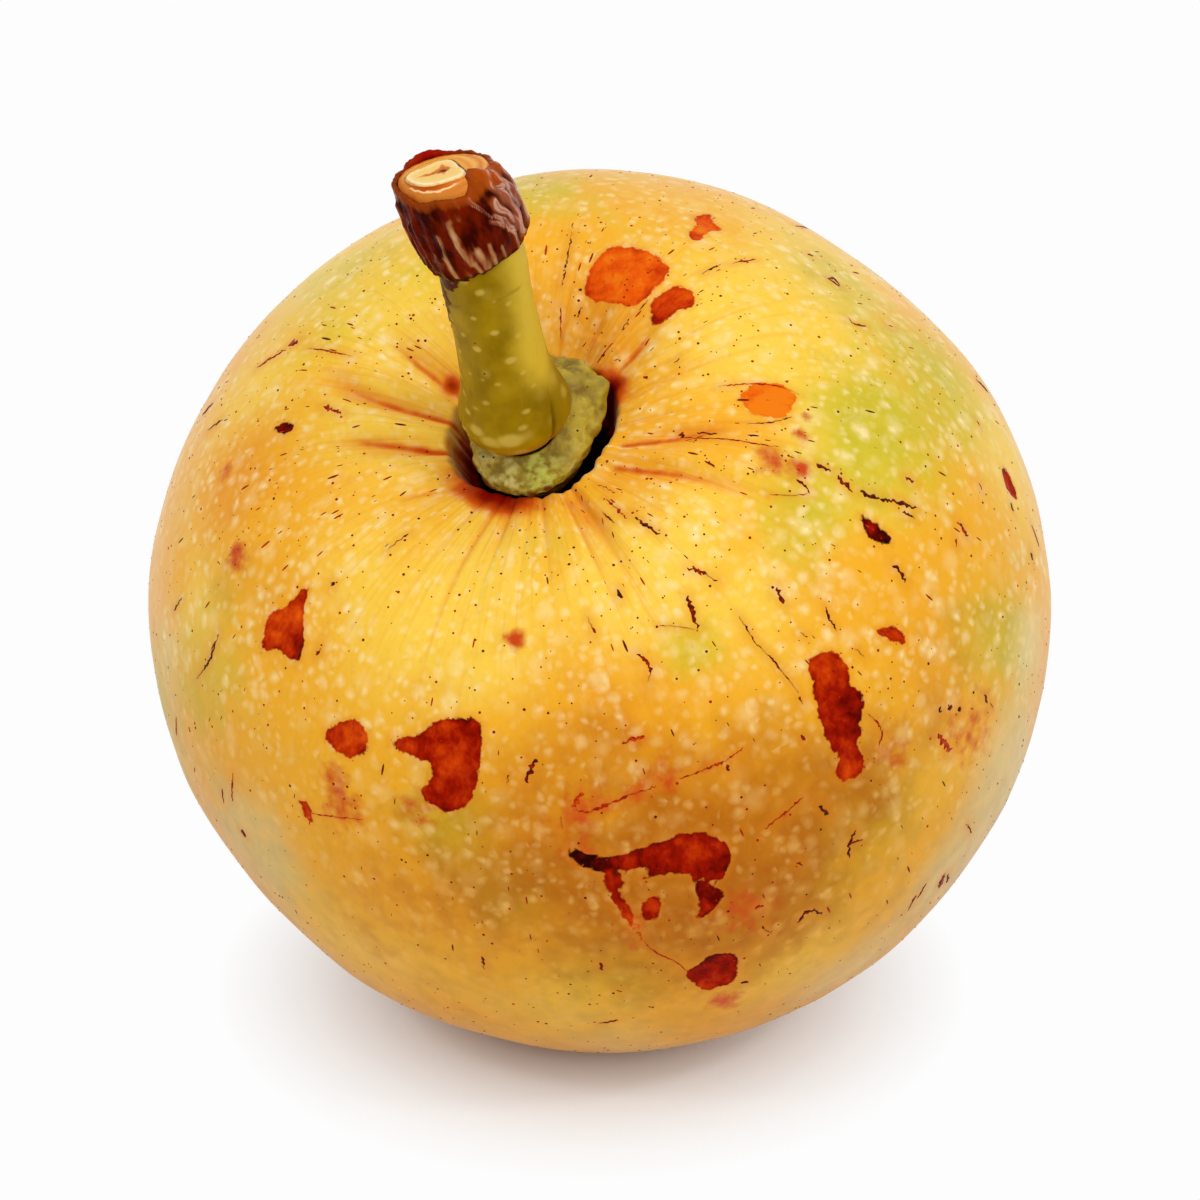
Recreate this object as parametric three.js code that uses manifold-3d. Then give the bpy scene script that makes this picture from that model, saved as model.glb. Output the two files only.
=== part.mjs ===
// A pond apple (Annona glabra) with its stalk, resting on its side on a small flat spot.
// Millimetres. The part's frame has its origin at the centre of the rest spot and +Z up;
// the stem end leans towards -Y. Pieces are shaped in the fruit's own frame, whose +Z is
// the axis the fruit grew along, stem end up, and whose origin is the centre of its equator.

import * as THREE from "three";
import { mergeVertices } from "three/addons/utils/BufferGeometryUtils.js";
import Module from "manifold-3d";

const wasm = await Module();
wasm.setup();

// How the fruit lies.
const TILT_DEG = 36; // growth axis from upright, towards -Y
const TURN_DEG = -18; // then turned about +Z
const CENTRE = new THREE.Vector3(0.9, 4.3, 40.5); // centre of the equator, seen from the rest spot

// The fruit's skin.
const EQUATOR_R = 45;
const STEM_HALF = 40.9; // equator to the stem pole, before the dip
const BLOSSOM_HALF = 40.2; // equator to the blossom pole
const DIP_DEPTH = 9; // broad funnel round the stalk
const DIP_R = 15;
const PIT_DEPTH = 5.6; // steep-sided pit at the bottom of the funnel
const PIT_R = 7.9;
const PIT_LIP = 0.9; // half-width of the pit's rounded wall
const SOCKET_R = 3.6; // hole in the pit's floor that holds the stalk's root
const SOCKET_Z = 23.6;
const BLOSSOM_RINGS = 24;
const STEM_RADII = [
  44.9, 44.3, 43.2, 41.6, 39.6, 37.2, 34.4, 31.4, 28.2, 25, 22, 19.2, 16.6, 14.2,
  12.2, 10.8, 9.8, 9.1, 8.6, 8.2, 7.9, 7.6, 7.3, 7, 6, 4.8, SOCKET_R,
];
const FRUIT_SEGMENTS = 72;

// Radial folds that run from the pit down the skin: [azimuth in degrees, depth, reach].
const FOLDS = [
  [-10, 0.55, 28], [8, 0.5, 24], [34, 0.35, 20], [57, 0.4, 23], [81, 0.4, 22],
  [106, 0.3, 20], [132, 0.4, 24], [163, 0.6, 30], [178, 0.45, 25], [200, 0.35, 21],
  [223, 0.3, 20], [246, 0.3, 18], [268, 0.35, 20], [290, 0.3, 18], [313, 0.35, 22],
  [334, 0.3, 19],
];
const FOLD_WIDTH_DEG = 6;

// Low swellings that take the fruit out of round: [azimuth, angle from the stem pole,
// height, spread], with the angles in degrees.
const SWELLINGS = [
  [-45, 100, 0.8, 30], [55, 62, -1.6, 28], [180, 88, 0.7, 18], [228, 105, -0.9, 28],
];

// The stalk: the middle line it grew along, in the fruit's frame, and its radii.
const STALK_LINE = [
  [-0.6, 0, 24.2], [-0.7, 0, 30], [-1.1, 0, 36], [-1.4, 1.2, 42], [-1.7, 2.8, 47],
  [-2.2, 4.7, 51.9], [-2.6, 6.2, 55], [-3.9, 7.9, 58.7], [-5.5, 9.5, 62.4],
];
const ROOT_LENGTH = 12; // part of the line that is hidden in the socket and the collar
const STALK_RADII = [
  [0, 2], [4, 2.4], [8, 2.7], [11.6, 2.7], [12, 4.6], [12.6, 5.2], [13.6, 5.35], [15, 5.15],
  [17, 4.6], [19.5, 4.2], [23, 4.05], [27, 4], [30.5, 4.05],
]; // [distance along the line, radius]
const STALK_SIDES = 40;

// The dry bark sleeve round the cut end, which shrank a little clear of the stalk.
const SLEEVE_LENGTH = 10.2;
const SLEEVE_GAP = 0.3;
const CORE_R = 3.6; // stalk inside the sleeve
const SLEEVE_RADII = [
  [0, 4.3], [0.3, 4.5], [1.5, 4.8], [4, 5.05], [7, 4.95], [9.4, 4.6], [10.2, 4.4],
]; // [distance from the sleeve's lower edge, outer radius]

// The calyx collar under the stalk's foot, with the stubs of its three sepals.
const COLLAR_PROFILE = [
  [3.9, 29], [4.7, 29], [5.3, 31], [5.8, 32.7], [6.3, 33.7], [6.2, 34.5], [5.2, 35], [3.9, 35.1],
];
const COLLAR_OFFSET_X = -0.8;
const SEPALS = [[39, 1.5, 1.1], [181, 1.2, 1.2], [267, 0.5, -0.2]]; // [azimuth, reach, rise]
const SEPAL_WIDTH_DEG = 38;
const COLLAR_SEGMENTS = 54;

// Smallest turn between two azimuths, in degrees.
function turnBetween(a, b) {
  return Math.abs(THREE.MathUtils.euclideanModulo(a - b + 180, 360) - 180);
}

// A smooth bell: 1 in the middle, fading over `width`.
function bell(distance, width) {
  return Math.exp(-((distance / width) ** 2));
}

function azimuthOf(point) {
  return THREE.MathUtils.radToDeg(Math.atan2(point.y, point.x));
}

// How far the skin sinks below a plain ellipsoid at a distance r from the axis.
function sinkAt(r) {
  const wall = 1 - THREE.MathUtils.smoothstep(r, PIT_R - PIT_LIP, PIT_R + PIT_LIP);
  return DIP_DEPTH * bell(r, DIP_R) + PIT_DEPTH * wall;
}

function stemSideZ(r) {
  return STEM_HALF * Math.sqrt(1 - (r / EQUATOR_R) ** 2) - sinkAt(r);
}

// Half-section of the fruit: blossom pole, equator, funnel, pit and socket.
function fruitProfile() {
  const points = [];
  for (let i = 0; i <= BLOSSOM_RINGS; i++) {
    const angle = (i / BLOSSOM_RINGS) * (Math.PI / 2);
    points.push([EQUATOR_R * Math.sin(angle), -BLOSSOM_HALF * Math.cos(angle)]);
  }
  for (const r of STEM_RADII) points.push([r, stemSideZ(r)]);
  points.push([SOCKET_R, SOCKET_Z], [0, SOCKET_Z]);
  return points;
}

// Depth of the folds at an azimuth and a distance r from the axis.
function foldAt(azimuth, r) {
  const rim = THREE.MathUtils.smoothstep(r, PIT_R - PIT_LIP, PIT_R + 2);
  let depth = 0;
  for (const [middle, most, reach] of FOLDS) {
    depth += most * bell(turnBetween(azimuth, middle), FOLD_WIDTH_DEG) * bell(r - PIT_R, reach / 2);
  }
  return depth * rim;
}

// Height of the swellings at a point of the skin.
function swellingAt(point) {
  let height = 0;
  for (const [azimuth, polar, most, spread] of SWELLINGS) {
    const around = THREE.MathUtils.degToRad(azimuth);
    const down = THREE.MathUtils.degToRad(polar);
    const middle = new THREE.Vector3(
      Math.sin(down) * Math.cos(around), Math.sin(down) * Math.sin(around), Math.cos(down),
    );
    height += most * bell(THREE.MathUtils.radToDeg(point.angleTo(middle)), spread);
  }
  return height;
}

// Turns an [r, z] half-section about +Z, then moves each vertex with `shape`.
function turned(profile, segments, shape) {
  const section = profile.map(([r, z]) => new THREE.Vector2(r, z));
  const lathe = new THREE.LatheGeometry(section, segments);
  lathe.rotateX(Math.PI / 2);
  return moved(shared(lathe), shape);
}

function moved(geometry, shape) {
  const place = geometry.getAttribute("position");
  const point = new THREE.Vector3();
  for (let i = 0; i < place.count; i++) {
    point.fromBufferAttribute(place, i);
    shape(point);
    place.setXYZ(i, point.x, point.y, point.z);
  }
  return geometry;
}

// Keeps only the places of the vertices, and shares the ones that coincide.
function shared(geometry) {
  geometry.deleteAttribute("normal");
  geometry.deleteAttribute("uv");
  return mergeVertices(geometry, 1e-4);
}

// Reads a [distance, value] table with straight runs between its rows.
function tableAt(table, distance) {
  const after = table.findIndex(([at]) => at >= distance);
  if (after < 0) return table[table.length - 1][1];
  if (after === 0) return table[0][1];
  const [a, valueA] = table[after - 1];
  const [b, valueB] = table[after];
  return THREE.MathUtils.mapLinear(distance, a, b, valueA, valueB);
}

// A ring of points square to the curve at each [distance, radius] station.
function ringsAlong(curve, stations, sides) {
  const length = curve.getLength();
  const across = new THREE.Vector3(1, 0, 0);
  return stations.map(([distance, radius]) => {
    const u = THREE.MathUtils.clamp(distance / length, 0, 1);
    const middle = curve.getPointAt(u);
    const along = curve.getTangentAt(u);
    const right = across.clone().addScaledVector(along, -across.dot(along)).normalize();
    const up = along.clone().cross(right);
    return Array.from({ length: sides }, (_, i) => {
      const angle = (i / sides) * 2 * Math.PI;
      return middle.clone()
        .addScaledVector(right, radius * Math.cos(angle))
        .addScaledVector(up, radius * Math.sin(angle));
    });
  });
}

// Joins rings into a closed skin, either capped at both ends or joined last to first.
function skinned(rings, capped) {
  const sides = rings[0].length;
  const places = rings.flat();
  const faces = [];
  const strips = capped ? rings.length - 1 : rings.length;
  for (let j = 0; j < strips; j++) {
    const low = j * sides;
    const high = ((j + 1) % rings.length) * sides;
    for (let i = 0; i < sides; i++) {
      const next = (i + 1) % sides;
      faces.push(low + i, low + next, high + next, low + i, high + next, high + i);
    }
  }
  if (capped) {
    const last = (rings.length - 1) * sides;
    for (let i = 1; i < sides - 1; i++) {
      faces.push(0, i + 1, i, last, last + i, last + i + 1);
    }
  }
  return new THREE.BufferGeometry().setFromPoints(places).setIndex(faces);
}

// A geometry as a manifold-3d solid, and back.
function solidOf(geometry) {
  return new wasm.Manifold(new wasm.Mesh({
    numProp: 3,
    vertProperties: geometry.getAttribute("position").array,
    triVerts: new Uint32Array(geometry.index.array),
  }));
}

function geometryOf(solid) {
  const mesh = solid.getMesh();
  return new THREE.BufferGeometry()
    .setAttribute("position", new THREE.BufferAttribute(mesh.vertProperties, 3))
    .setIndex(new THREE.BufferAttribute(mesh.triVerts, 1));
}

// The fruit, shaved flat where it meets the ground: `lying` places it in the part's frame.
function fruitGeometry(lying) {
  const whole = turned(fruitProfile(), FRUIT_SEGMENTS, (point) => {
    const r = Math.hypot(point.x, point.y);
    if (point.z > 0) point.z -= foldAt(azimuthOf(point), r);
    if (r > SOCKET_R + PIT_R) point.setLength(point.length() + swellingAt(point));
  });
  const side = 2 * EQUATOR_R;
  const ground = new THREE.BoxGeometry(side, side, side);
  ground.translate(0, 0, -side / 2);
  ground.applyMatrix4(lying.clone().invert());
  return geometryOf(solidOf(whole).subtract(solidOf(shared(ground))));
}

function collarGeometry() {
  const [innerR] = COLLAR_PROFILE[0];
  const closed = [...COLLAR_PROFILE, COLLAR_PROFILE[0]];
  const shape = (point) => {
    const r = Math.hypot(point.x, point.y);
    const outward = THREE.MathUtils.smoothstep(r, innerR, innerR + 1.6);
    for (const [azimuth, reach, rise] of SEPALS) {
      const share = outward * bell(turnBetween(azimuthOf(point), azimuth), SEPAL_WIDTH_DEG);
      const high = THREE.MathUtils.smoothstep(point.z, 31, 34);
      point.z += rise * share * high;
      point.x *= 1 + (reach * share * high) / r;
      point.y *= 1 + (reach * share * high) / r;
    }
    point.x += COLLAR_OFFSET_X;
  };
  return turned(closed, COLLAR_SEGMENTS, shape);
}

function stalkStations(length) {
  const start = length - SLEEVE_LENGTH;
  const shank = STALK_RADII.filter(([distance]) => distance < start - 0.5);
  const shoulder = [[start - 0.4, tableAt(STALK_RADII, start)], [start - 0.3, CORE_R]];
  const core = [0.35, 0.7, 1].map((share) => [start + share * SLEEVE_LENGTH, CORE_R]);
  return [...shank, ...shoulder, ...core];
}

function sleeveStations(length) {
  const start = length - SLEEVE_LENGTH;
  const outer = SLEEVE_RADII.map(([distance, radius]) => [start + distance, radius]);
  const inner = [1, 0.7, 0.35, 0].map((share) => [
    start + share * SLEEVE_LENGTH, CORE_R + SLEEVE_GAP,
  ]);
  return [...outer, ...inner];
}

function piece(name, geometry, colour, roughness) {
  geometry.computeVertexNormals();
  const material = new THREE.MeshStandardMaterial({ color: colour, roughness, metalness: 0 });
  material.name = name;
  const mesh = new THREE.Mesh(geometry, material);
  mesh.name = name;
  return mesh;
}

function pondApple() {
  const grown = new THREE.Group();
  grown.position.copy(CENTRE);
  grown.rotation.set(
    THREE.MathUtils.degToRad(TILT_DEG), 0, THREE.MathUtils.degToRad(TURN_DEG), "ZXY",
  );
  grown.updateMatrix();

  const line = new THREE.CatmullRomCurve3(STALK_LINE.map((p) => new THREE.Vector3(...p)));
  const length = line.getLength();
  const stalk = skinned(ringsAlong(line, stalkStations(length), STALK_SIDES), true);
  const sleeve = skinned(ringsAlong(line, sleeveStations(length), STALK_SIDES), false);

  grown.add(piece("fruit", fruitGeometry(grown.matrix), "#e9b02c", 0.42));
  grown.add(piece("calyx_collar", collarGeometry(), "#a2a548", 0.6));
  grown.add(piece("stalk", stalk, "#9a9a2a", 0.5));
  grown.add(piece("bark_sleeve", sleeve, "#5a1a0a", 0.35));

  const part = new THREE.Group();
  part.name = "pond_apple";
  part.add(grown);
  return part;
}

export default pondApple();
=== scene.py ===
# %% [markdown]
# # A pond apple
# A pond apple is a swamp fruit the size of an orange, with a waxy yellow rind that is flecked
# with cream and marked with red and black cork scars. It lies on its side on a small flat
# spot, and the stalk that it was cut with leans towards us. The solid pieces come from the
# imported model: here they get the fine shapes and the finishes that the eye sees.

# %% The frame that everything is built around
import math
import random
from functools import partial

import bpy
import numpy as np
from mathutils import Euler, Matrix, Vector, noise
from mathutils.bvhtree import BVHTree


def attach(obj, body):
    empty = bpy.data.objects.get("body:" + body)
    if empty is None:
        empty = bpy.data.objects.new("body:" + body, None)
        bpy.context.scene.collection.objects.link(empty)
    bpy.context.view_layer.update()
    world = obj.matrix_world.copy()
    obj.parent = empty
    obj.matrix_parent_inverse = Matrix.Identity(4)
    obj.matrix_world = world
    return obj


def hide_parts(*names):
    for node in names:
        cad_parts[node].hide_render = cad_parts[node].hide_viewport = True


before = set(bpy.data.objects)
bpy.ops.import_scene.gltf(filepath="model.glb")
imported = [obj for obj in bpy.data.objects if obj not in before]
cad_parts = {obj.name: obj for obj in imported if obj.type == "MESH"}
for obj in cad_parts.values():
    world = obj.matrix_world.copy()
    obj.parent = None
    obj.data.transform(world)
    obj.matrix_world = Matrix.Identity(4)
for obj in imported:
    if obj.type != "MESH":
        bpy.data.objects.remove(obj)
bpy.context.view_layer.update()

MM = 0.001
print("solid pieces:", ", ".join(sorted(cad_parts)))

# %% [markdown]
# ## Where the fruit lies
# A fruit is easiest to shape standing on its blossom end, with the line that it grew along
# upright. So every shape below is made in that fruit frame, in millimetres, and one matrix
# lays it on its side and turns millimetres to metres. The numbers are those of the solids.

# %% Fruit frame to row frame
TILT_DEG = 36
TURN_DEG = -18
CENTRE = Vector((0.9, 4.3, 40.5))

lay_turn = Matrix.Rotation(math.radians(TURN_DEG), 4, "Z") @ Matrix.Rotation(math.radians(TILT_DEG), 4, "X")
LAY = Matrix.Scale(MM, 4) @ Matrix.Translation(CENTRE) @ lay_turn
LAY_ARRAY = np.array(LAY)


def laid(points):
    """Points of the fruit frame in millimetres, as points of the row frame in metres."""
    return np.asarray(points, float) @ LAY_ARRAY[:3, :3].T + LAY_ARRAY[:3, 3]


print("the stem pole of the fruit lies at", [round(v, 4) for v in laid([(0, 0, 40)])[0]])

# %% [markdown]
# ## The camera
# The viewer looks down on the fruit by 26 degrees, from about half a metre away, through a
# long lens that keeps the outline nearly free of perspective.

# %% Camera
CAMERA_DISTANCE = 520 * MM
CAMERA_DOWN_DEG = 26
CAMERA_LENS = 156
AIM_RISE = 0.6 * MM
FILM_WIDTH = 36


def add_object(name, data):
    """An object that shows the given data, at the origin of the scene."""
    made = bpy.data.objects.new(name, data)
    bpy.context.scene.collection.objects.link(made)
    return made


down = math.radians(CAMERA_DOWN_DEG)
look = Vector((0, math.cos(down), -math.sin(down)))
upward = Vector((0, math.sin(down), math.cos(down)))
camera_data = bpy.data.cameras.new("viewer")
camera_data.lens = CAMERA_LENS
camera_data.sensor_width = FILM_WIDTH
camera_data.clip_start = 0.01
camera = add_object("viewer", camera_data)
camera.location = CENTRE * MM + upward * AIM_RISE - look * CAMERA_DISTANCE
camera.rotation_euler = look.to_track_quat("-Z", "Y").to_euler()
bpy.context.scene.camera = camera
print("camera at", [round(v, 3) for v in camera.location])

# %% [markdown]
# ## Three helpers for materials
# Colours are written as the hex values that a painter would pick on screen, and one function
# turns them to the linear values that Blender computes with. A second function adds a node,
# with its settings and with its inputs in order: a number, a hex colour, or what feeds it. A
# third starts a material, and sets what is the same all over the surface on its shader.

# %% Colour and node helpers
def linear(hex_colour):
    """An sRGB hex colour as linear red, green, blue and alpha."""
    parts = [int(hex_colour[i:i + 2], 16) / 255 for i in (1, 3, 5)]
    return [p / 12.92 if p <= 0.04045 else ((p + 0.055) / 1.055) ** 2.4 for p in parts] + [1.0]


def add_node(tree, kind, settings=None, inputs=()):
    """Adds a node. `inputs` is a list in the order of the open sockets, or a dict by name."""
    made = tree.nodes.new(kind)
    for name, value in (settings or {}).items():
        if name == "stops":
            ramp = made.color_ramp.elements
            while len(ramp) < len(value):
                ramp.new(1.0)
            for element, (place, colour) in zip(ramp, value):
                element.position = place
                element.color = linear(colour) if isinstance(colour, str) else (colour, colour, colour, 1)
        else:
            setattr(made, name, value)
    sockets = [s for s in made.inputs if s.enabled]
    for key, value in inputs.items() if isinstance(inputs, dict) else enumerate(inputs):
        socket = sockets[key] if isinstance(key, int) else next(s for s in sockets if s.name == key)
        if isinstance(value, bpy.types.Node):
            value = next(s for s in value.outputs if s.enabled)
        if isinstance(value, bpy.types.NodeSocket):
            tree.links.new(value, socket)
        else:
            socket.default_value = linear(value) if str(value).startswith("#") else value
    return made


def new_material(name, **surface):
    """An empty material, its node tree and its surface shader with uniform settings."""
    material = bpy.data.materials.new(name)
    material.use_nodes = True
    tree = material.node_tree
    shader = tree.nodes["Principled BSDF"]
    for socket, value in surface.items():
        shader.inputs[socket.replace("_", " ")].default_value = value
    return material, tree, shader


print("white in linear light:", linear("#ffffff")[:3])

# %% [markdown]
# ## Light and ground
# A white table under a wide overhead softbox: the shadow is a soft pool right under the
# fruit. A sun lamp is given the width of a softbox, and four small weak lamps, to the left
# and right in front, put crisp lights on what is glossy. The world lights softly from all
# round, and to the eye and in reflections it is plain white.

# %% Softbox, world and floor
SOFTBOX_WIDTH_DEG = 75
SOFTBOX_STRENGTH = 1.5
SOFTBOX_TILT_DEG = 8
SMALL_LAMP_WIDTH_DEG = 7
# Turned to the side, tilted forward, strength
SMALL_LAMPS = [(-50, 44, 0.25), (58, 46, 0.4), (34, 76, 0.22), (-28, 72, 0.18)]
FILL_STRENGTH = 0.35
FLOOR_HALF, FLOOR_WHITE = 1.6, "#fdfdfd"
SHADOW_START, SHADOW_END = 14, 38.5  # mm from the middle, where the floor turns plain white


def add_lamp(name, strength, width_deg, tilt_deg, turn_deg):
    """A distant lamp of a given width, tilted towards us from overhead and turned sideways."""
    lamp = bpy.data.lights.new(name, "SUN")
    lamp.energy = strength
    lamp.angle = math.radians(width_deg)
    add_object(name, lamp).rotation_euler = Euler((math.radians(tilt_deg), 0, math.radians(turn_deg)))


add_lamp("softbox", SOFTBOX_STRENGTH, SOFTBOX_WIDTH_DEG, SOFTBOX_TILT_DEG, 0)
for lamp_turn, lamp_tilt, lamp_strength in SMALL_LAMPS:
    add_lamp("small_lamp", lamp_strength, SMALL_LAMP_WIDTH_DEG, lamp_tilt, lamp_turn)

world = bpy.data.worlds.new("white studio")
world.use_nodes = True
bpy.context.scene.world = world
sky = world.node_tree
add = partial(add_node, sky)
EITHER = ("ShaderNodeMath", {"operation": "MAXIMUM"})
rays = add("ShaderNodeLightPath")
seen = add(*EITHER, [rays.outputs["Is Camera Ray"], rays.outputs["Is Glossy Ray"]])
seen = add(*EITHER, [seen, rays.outputs["Is Transmission Ray"]])
strength = add("ShaderNodeMix", {"data_type": "FLOAT"}, [seen, FILL_STRENGTH, 1.0])
backdrop = sky.nodes["Background"]
backdrop.inputs["Color"].default_value = linear("#ffffff")
sky.links.new(strength.outputs[0], backdrop.inputs["Strength"])

floor_mesh = bpy.data.meshes.new("floor")
corners = [(x * FLOOR_HALF, y * FLOOR_HALF, 0) for x, y in ((-1, -1), (1, -1), (1, 1), (-1, 1))]
floor_mesh.from_pydata(corners, [], [(0, 1, 2, 3)])
floor = add_object("floor", floor_mesh)
floor_paint, floor_tree, floor_shader = new_material("matt_white_table", Roughness=1.0)
floor_shader.inputs["Base Color"].default_value = linear(FLOOR_WHITE)
floor_shader.inputs["Specular IOR Level"].default_value = 0.0
# Past the pool of shadow, the table is seen as plain white.
add = partial(add_node, floor_tree)
table_spot = add("ShaderNodeTexCoord").outputs["Object"]
from_fruit = add("ShaderNodeVectorMath", {"operation": "LENGTH"}, [table_spot]).outputs["Value"]
clear_white = add("ShaderNodeMapRange", {}, [from_fruit, SHADOW_START * MM, SHADOW_END * MM])
eye = add("ShaderNodeLightPath").outputs["Is Camera Ray"]
clear_white = add("ShaderNodeMath", {"operation": "MULTIPLY"}, [clear_white, eye])
white_glow = add("ShaderNodeEmission", {}, {"Color": FLOOR_WHITE, "Strength": 1.0})
seen_floor = add("ShaderNodeMixShader", {}, [clear_white, floor_shader, white_glow])
floor_tree.links.new(seen_floor.outputs[0], floor_tree.nodes["Material Output"].inputs["Surface"])
floor_mesh.materials.append(floor_paint)
bpy.context.scene.view_settings.view_transform = "Standard"
print("softbox", SOFTBOX_STRENGTH, "fill", FILL_STRENGTH)

# %% [markdown]
# ## The shape of the fruit
# A pond apple is a lathe shape that grew a little out of round: a heart-like body, a funnel
# round the stalk with a steep pit at its bottom, and folds that run out of the pit. The mesh is
# a grid of meridians and rings, with the rings packed close in the pit, where the shape
# turns fast. numpy moves all of its points at once.

# %% Profile of the fruit
EQUATOR_R = 45
STEM_HALF = 40.9
BLOSSOM_HALF = 40.2
DIP_DEPTH, DIP_R = 9, 15
PIT_DEPTH, PIT_R, PIT_LIP = 5.6, 7.9, 0.9
SOCKET_R, SOCKET_Z = 3.6, 23.6
MERIDIANS = 440
RINGS = 214
BELLY_GAP, SHOULDER_GAP, FUNNEL_GAP = 0.95, 0.6, 0.26  # between rings, in mm before they are shared out


def bell(distance, width):
    """A smooth bell: 1 in the middle, fading over `width`."""
    return np.exp(-(np.asarray(distance) / width) ** 2)


def ease(value, low, high):
    """0 below low, 1 above high, and a smooth step between."""
    t = np.clip((np.asarray(value, float) - low) / (high - low), 0, 1)
    return t * t * (3 - 2 * t)


def turn_between(a, b):
    """Smallest turn between two azimuths, in degrees."""
    return np.abs((np.asarray(a) - b + 180) % 360 - 180)


def skin_profile():
    """Radius, height and distance along the skin of each ring, blossom end first."""
    angle = np.linspace(0, math.pi / 2, 500)
    blossom_r, blossom_z = EQUATOR_R * np.sin(angle), -BLOSSOM_HALF * np.cos(angle)
    stem_r = EQUATOR_R - (EQUATOR_R - SOCKET_R) * (np.arange(1, 1601) / 1600) ** 1.5
    wall = 1 - ease(stem_r, PIT_R - PIT_LIP, PIT_R + PIT_LIP)
    stem_z = STEM_HALF * np.sqrt(1 - (stem_r / EQUATOR_R) ** 2)
    stem_z = stem_z - DIP_DEPTH * bell(stem_r, DIP_R) - PIT_DEPTH * wall
    r = np.concatenate([blossom_r, stem_r, [SOCKET_R]])
    z = np.concatenate([blossom_z, stem_z, [SOCKET_Z]])
    along = np.concatenate([[0], np.cumsum(np.hypot(np.diff(r), np.diff(z)))])
    spacing = np.where(z < -8, BELLY_GAP, np.where(r > DIP_R, SHOULDER_GAP, FUNNEL_GAP))
    rows = np.concatenate([[0], np.cumsum(np.diff(along) / spacing[1:])])
    picks = np.linspace(0, rows[-1], RINGS + 1)[1:]
    return np.interp(picks, rows, r), np.interp(picks, rows, z), np.interp(picks, rows, along)


ring_r, ring_z, ring_arc = skin_profile()
print("rings", RINGS, "closest", round(float(np.diff(ring_arc).min()), 2), "mm apart")

# %% [markdown]
# ## Folds, pleats and swellings
# The skin is drawn into the pit like cloth into a drawstring. Sixteen folds are given, and
# finer pleats between them come from noise that changes with azimuth but hardly
# along the meridian. A few broad swellings take the body out of round.

# %% Relief of the skin
# Azimuth, depth, and how far each reaches from the pit, in mm
FOLDS = [
    (-10, 0.3, 28), (8, 0.3, 24), (34, 0.35, 20), (57, 0.4, 23), (81, 0.4, 22), (106, 0.3, 20),
    (132, 0.4, 24), (163, 0.4, 30), (178, 0.3, 25), (200, 0.3, 21), (223, 0.3, 20), (246, 0.3, 18),
    (268, 0.35, 20), (290, 0.3, 18), (313, 0.35, 22), (334, 0.3, 19),
]
FOLD_WIDTH_DEG = 8
BROAD_FOLD, FINE_FOLD = 0.7, 0.5
PIT_SQUEEZE, SQUEEZE_DEPTH = 1.9, 3.8
SQUEEZE_MIDDLE, SQUEEZE_FULL, SQUEEZE_END = -55, 40, 100
# Azimuth, angle from the stem pole, height and width in degrees
SWELLINGS = [(-45, 100, 0.8, 30), (55, 62, -1.6, 28), (180, 88, 0.7, 18), (228, 105, -0.9, 28)]
# Layers of noise: strength, size in mm, seed, squeeze along the axis
PLEATS = [(1, 14, 1.0, 0.12), (0.35, 5.5, 2.0, 0.2)]
GATHERS = [(4.5, 11, 5.0, 0.07)]
LUMPS = [(0.35, 16, 3.0, 1), (0.12, 6, 4.0, 1)]
PIT_WAVES = [(0.25, 5, 8.0, 0)]
PLEAT_DEPTH, GATHER_DEPTH, GATHER_REACH = 0.42, 0.30, 13


def fold_share(azimuth, r, width):
    """How deep in a fold each point is: 0 on plain skin, about 1 in the deepest fold."""
    share = np.zeros_like(azimuth)
    for middle, depth, reach in FOLDS:
        share += depth * bell(turn_between(azimuth, middle), width) * bell(r - PIT_R, reach / 2)
    return share * ease(r, PIT_R - PIT_LIP, PIT_R + 2)


def directions(azimuth_deg, polar_deg):
    """Outward, eastward and stemward directions at a place on the skin."""
    a, p = math.radians(azimuth_deg), math.radians(polar_deg)
    out = np.array([math.sin(p) * math.cos(a), math.sin(p) * math.sin(a), math.cos(p)])
    east = np.array([-math.sin(a), math.cos(a), 0])
    return out, east, np.cross(out, east)


def turned(radius, angle_deg, height):
    """Points at a radius, an angle round the axis and a height."""
    angle = np.radians(angle_deg)
    return np.stack(np.broadcast_arrays(radius * np.cos(angle), radius * np.sin(angle), height), 1)


def ring_grid(start_deg, columns, rows):
    """Angle, and the value of its row, at each point of a grid of rings."""
    angle, row = np.meshgrid(np.linspace(start_deg, start_deg + 360, columns, endpoint=False), rows)
    return angle.ravel(), row.ravel()


def noise_at(points, size, seed=0.0):
    """Soft noise from -1 to 1 whose lumps are about `size` across."""
    shift = Vector((seed, 2 * seed, 3 * seed))
    return np.array([noise.noise(Vector(p) / size + shift) for p in points])


def noise_sum(points, layers):
    """Soft noise in layers: strength, size of the lumps, seed, and a squeeze that draws them out."""
    return sum(most * noise_at(points * [1, 1, squeeze], size, seed)
               for most, size, seed, squeeze in layers)


azimuth, row = ring_grid(-180, MERIDIANS, np.arange(RINGS))
grids = (azimuth, ring_r[row], ring_z[row], ring_arc[row])
poles = ((0, 0), (0, 0), (-BLOSSOM_HALF, SOCKET_Z), (0, ring_arc[-1] + SOCKET_R))
azimuth, r, z, arc = (np.append(grid, ends) for grid, ends in zip(grids, poles))
skin = turned(r, azimuth, z)
# The same points with each ring as wide as the equator, so that a pattern keeps its number
# of repeats along a meridian: what grew in lines follows it.
growth = turned(np.where(r > 0, EQUATOR_R, 0), azimuth, arc)

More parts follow.
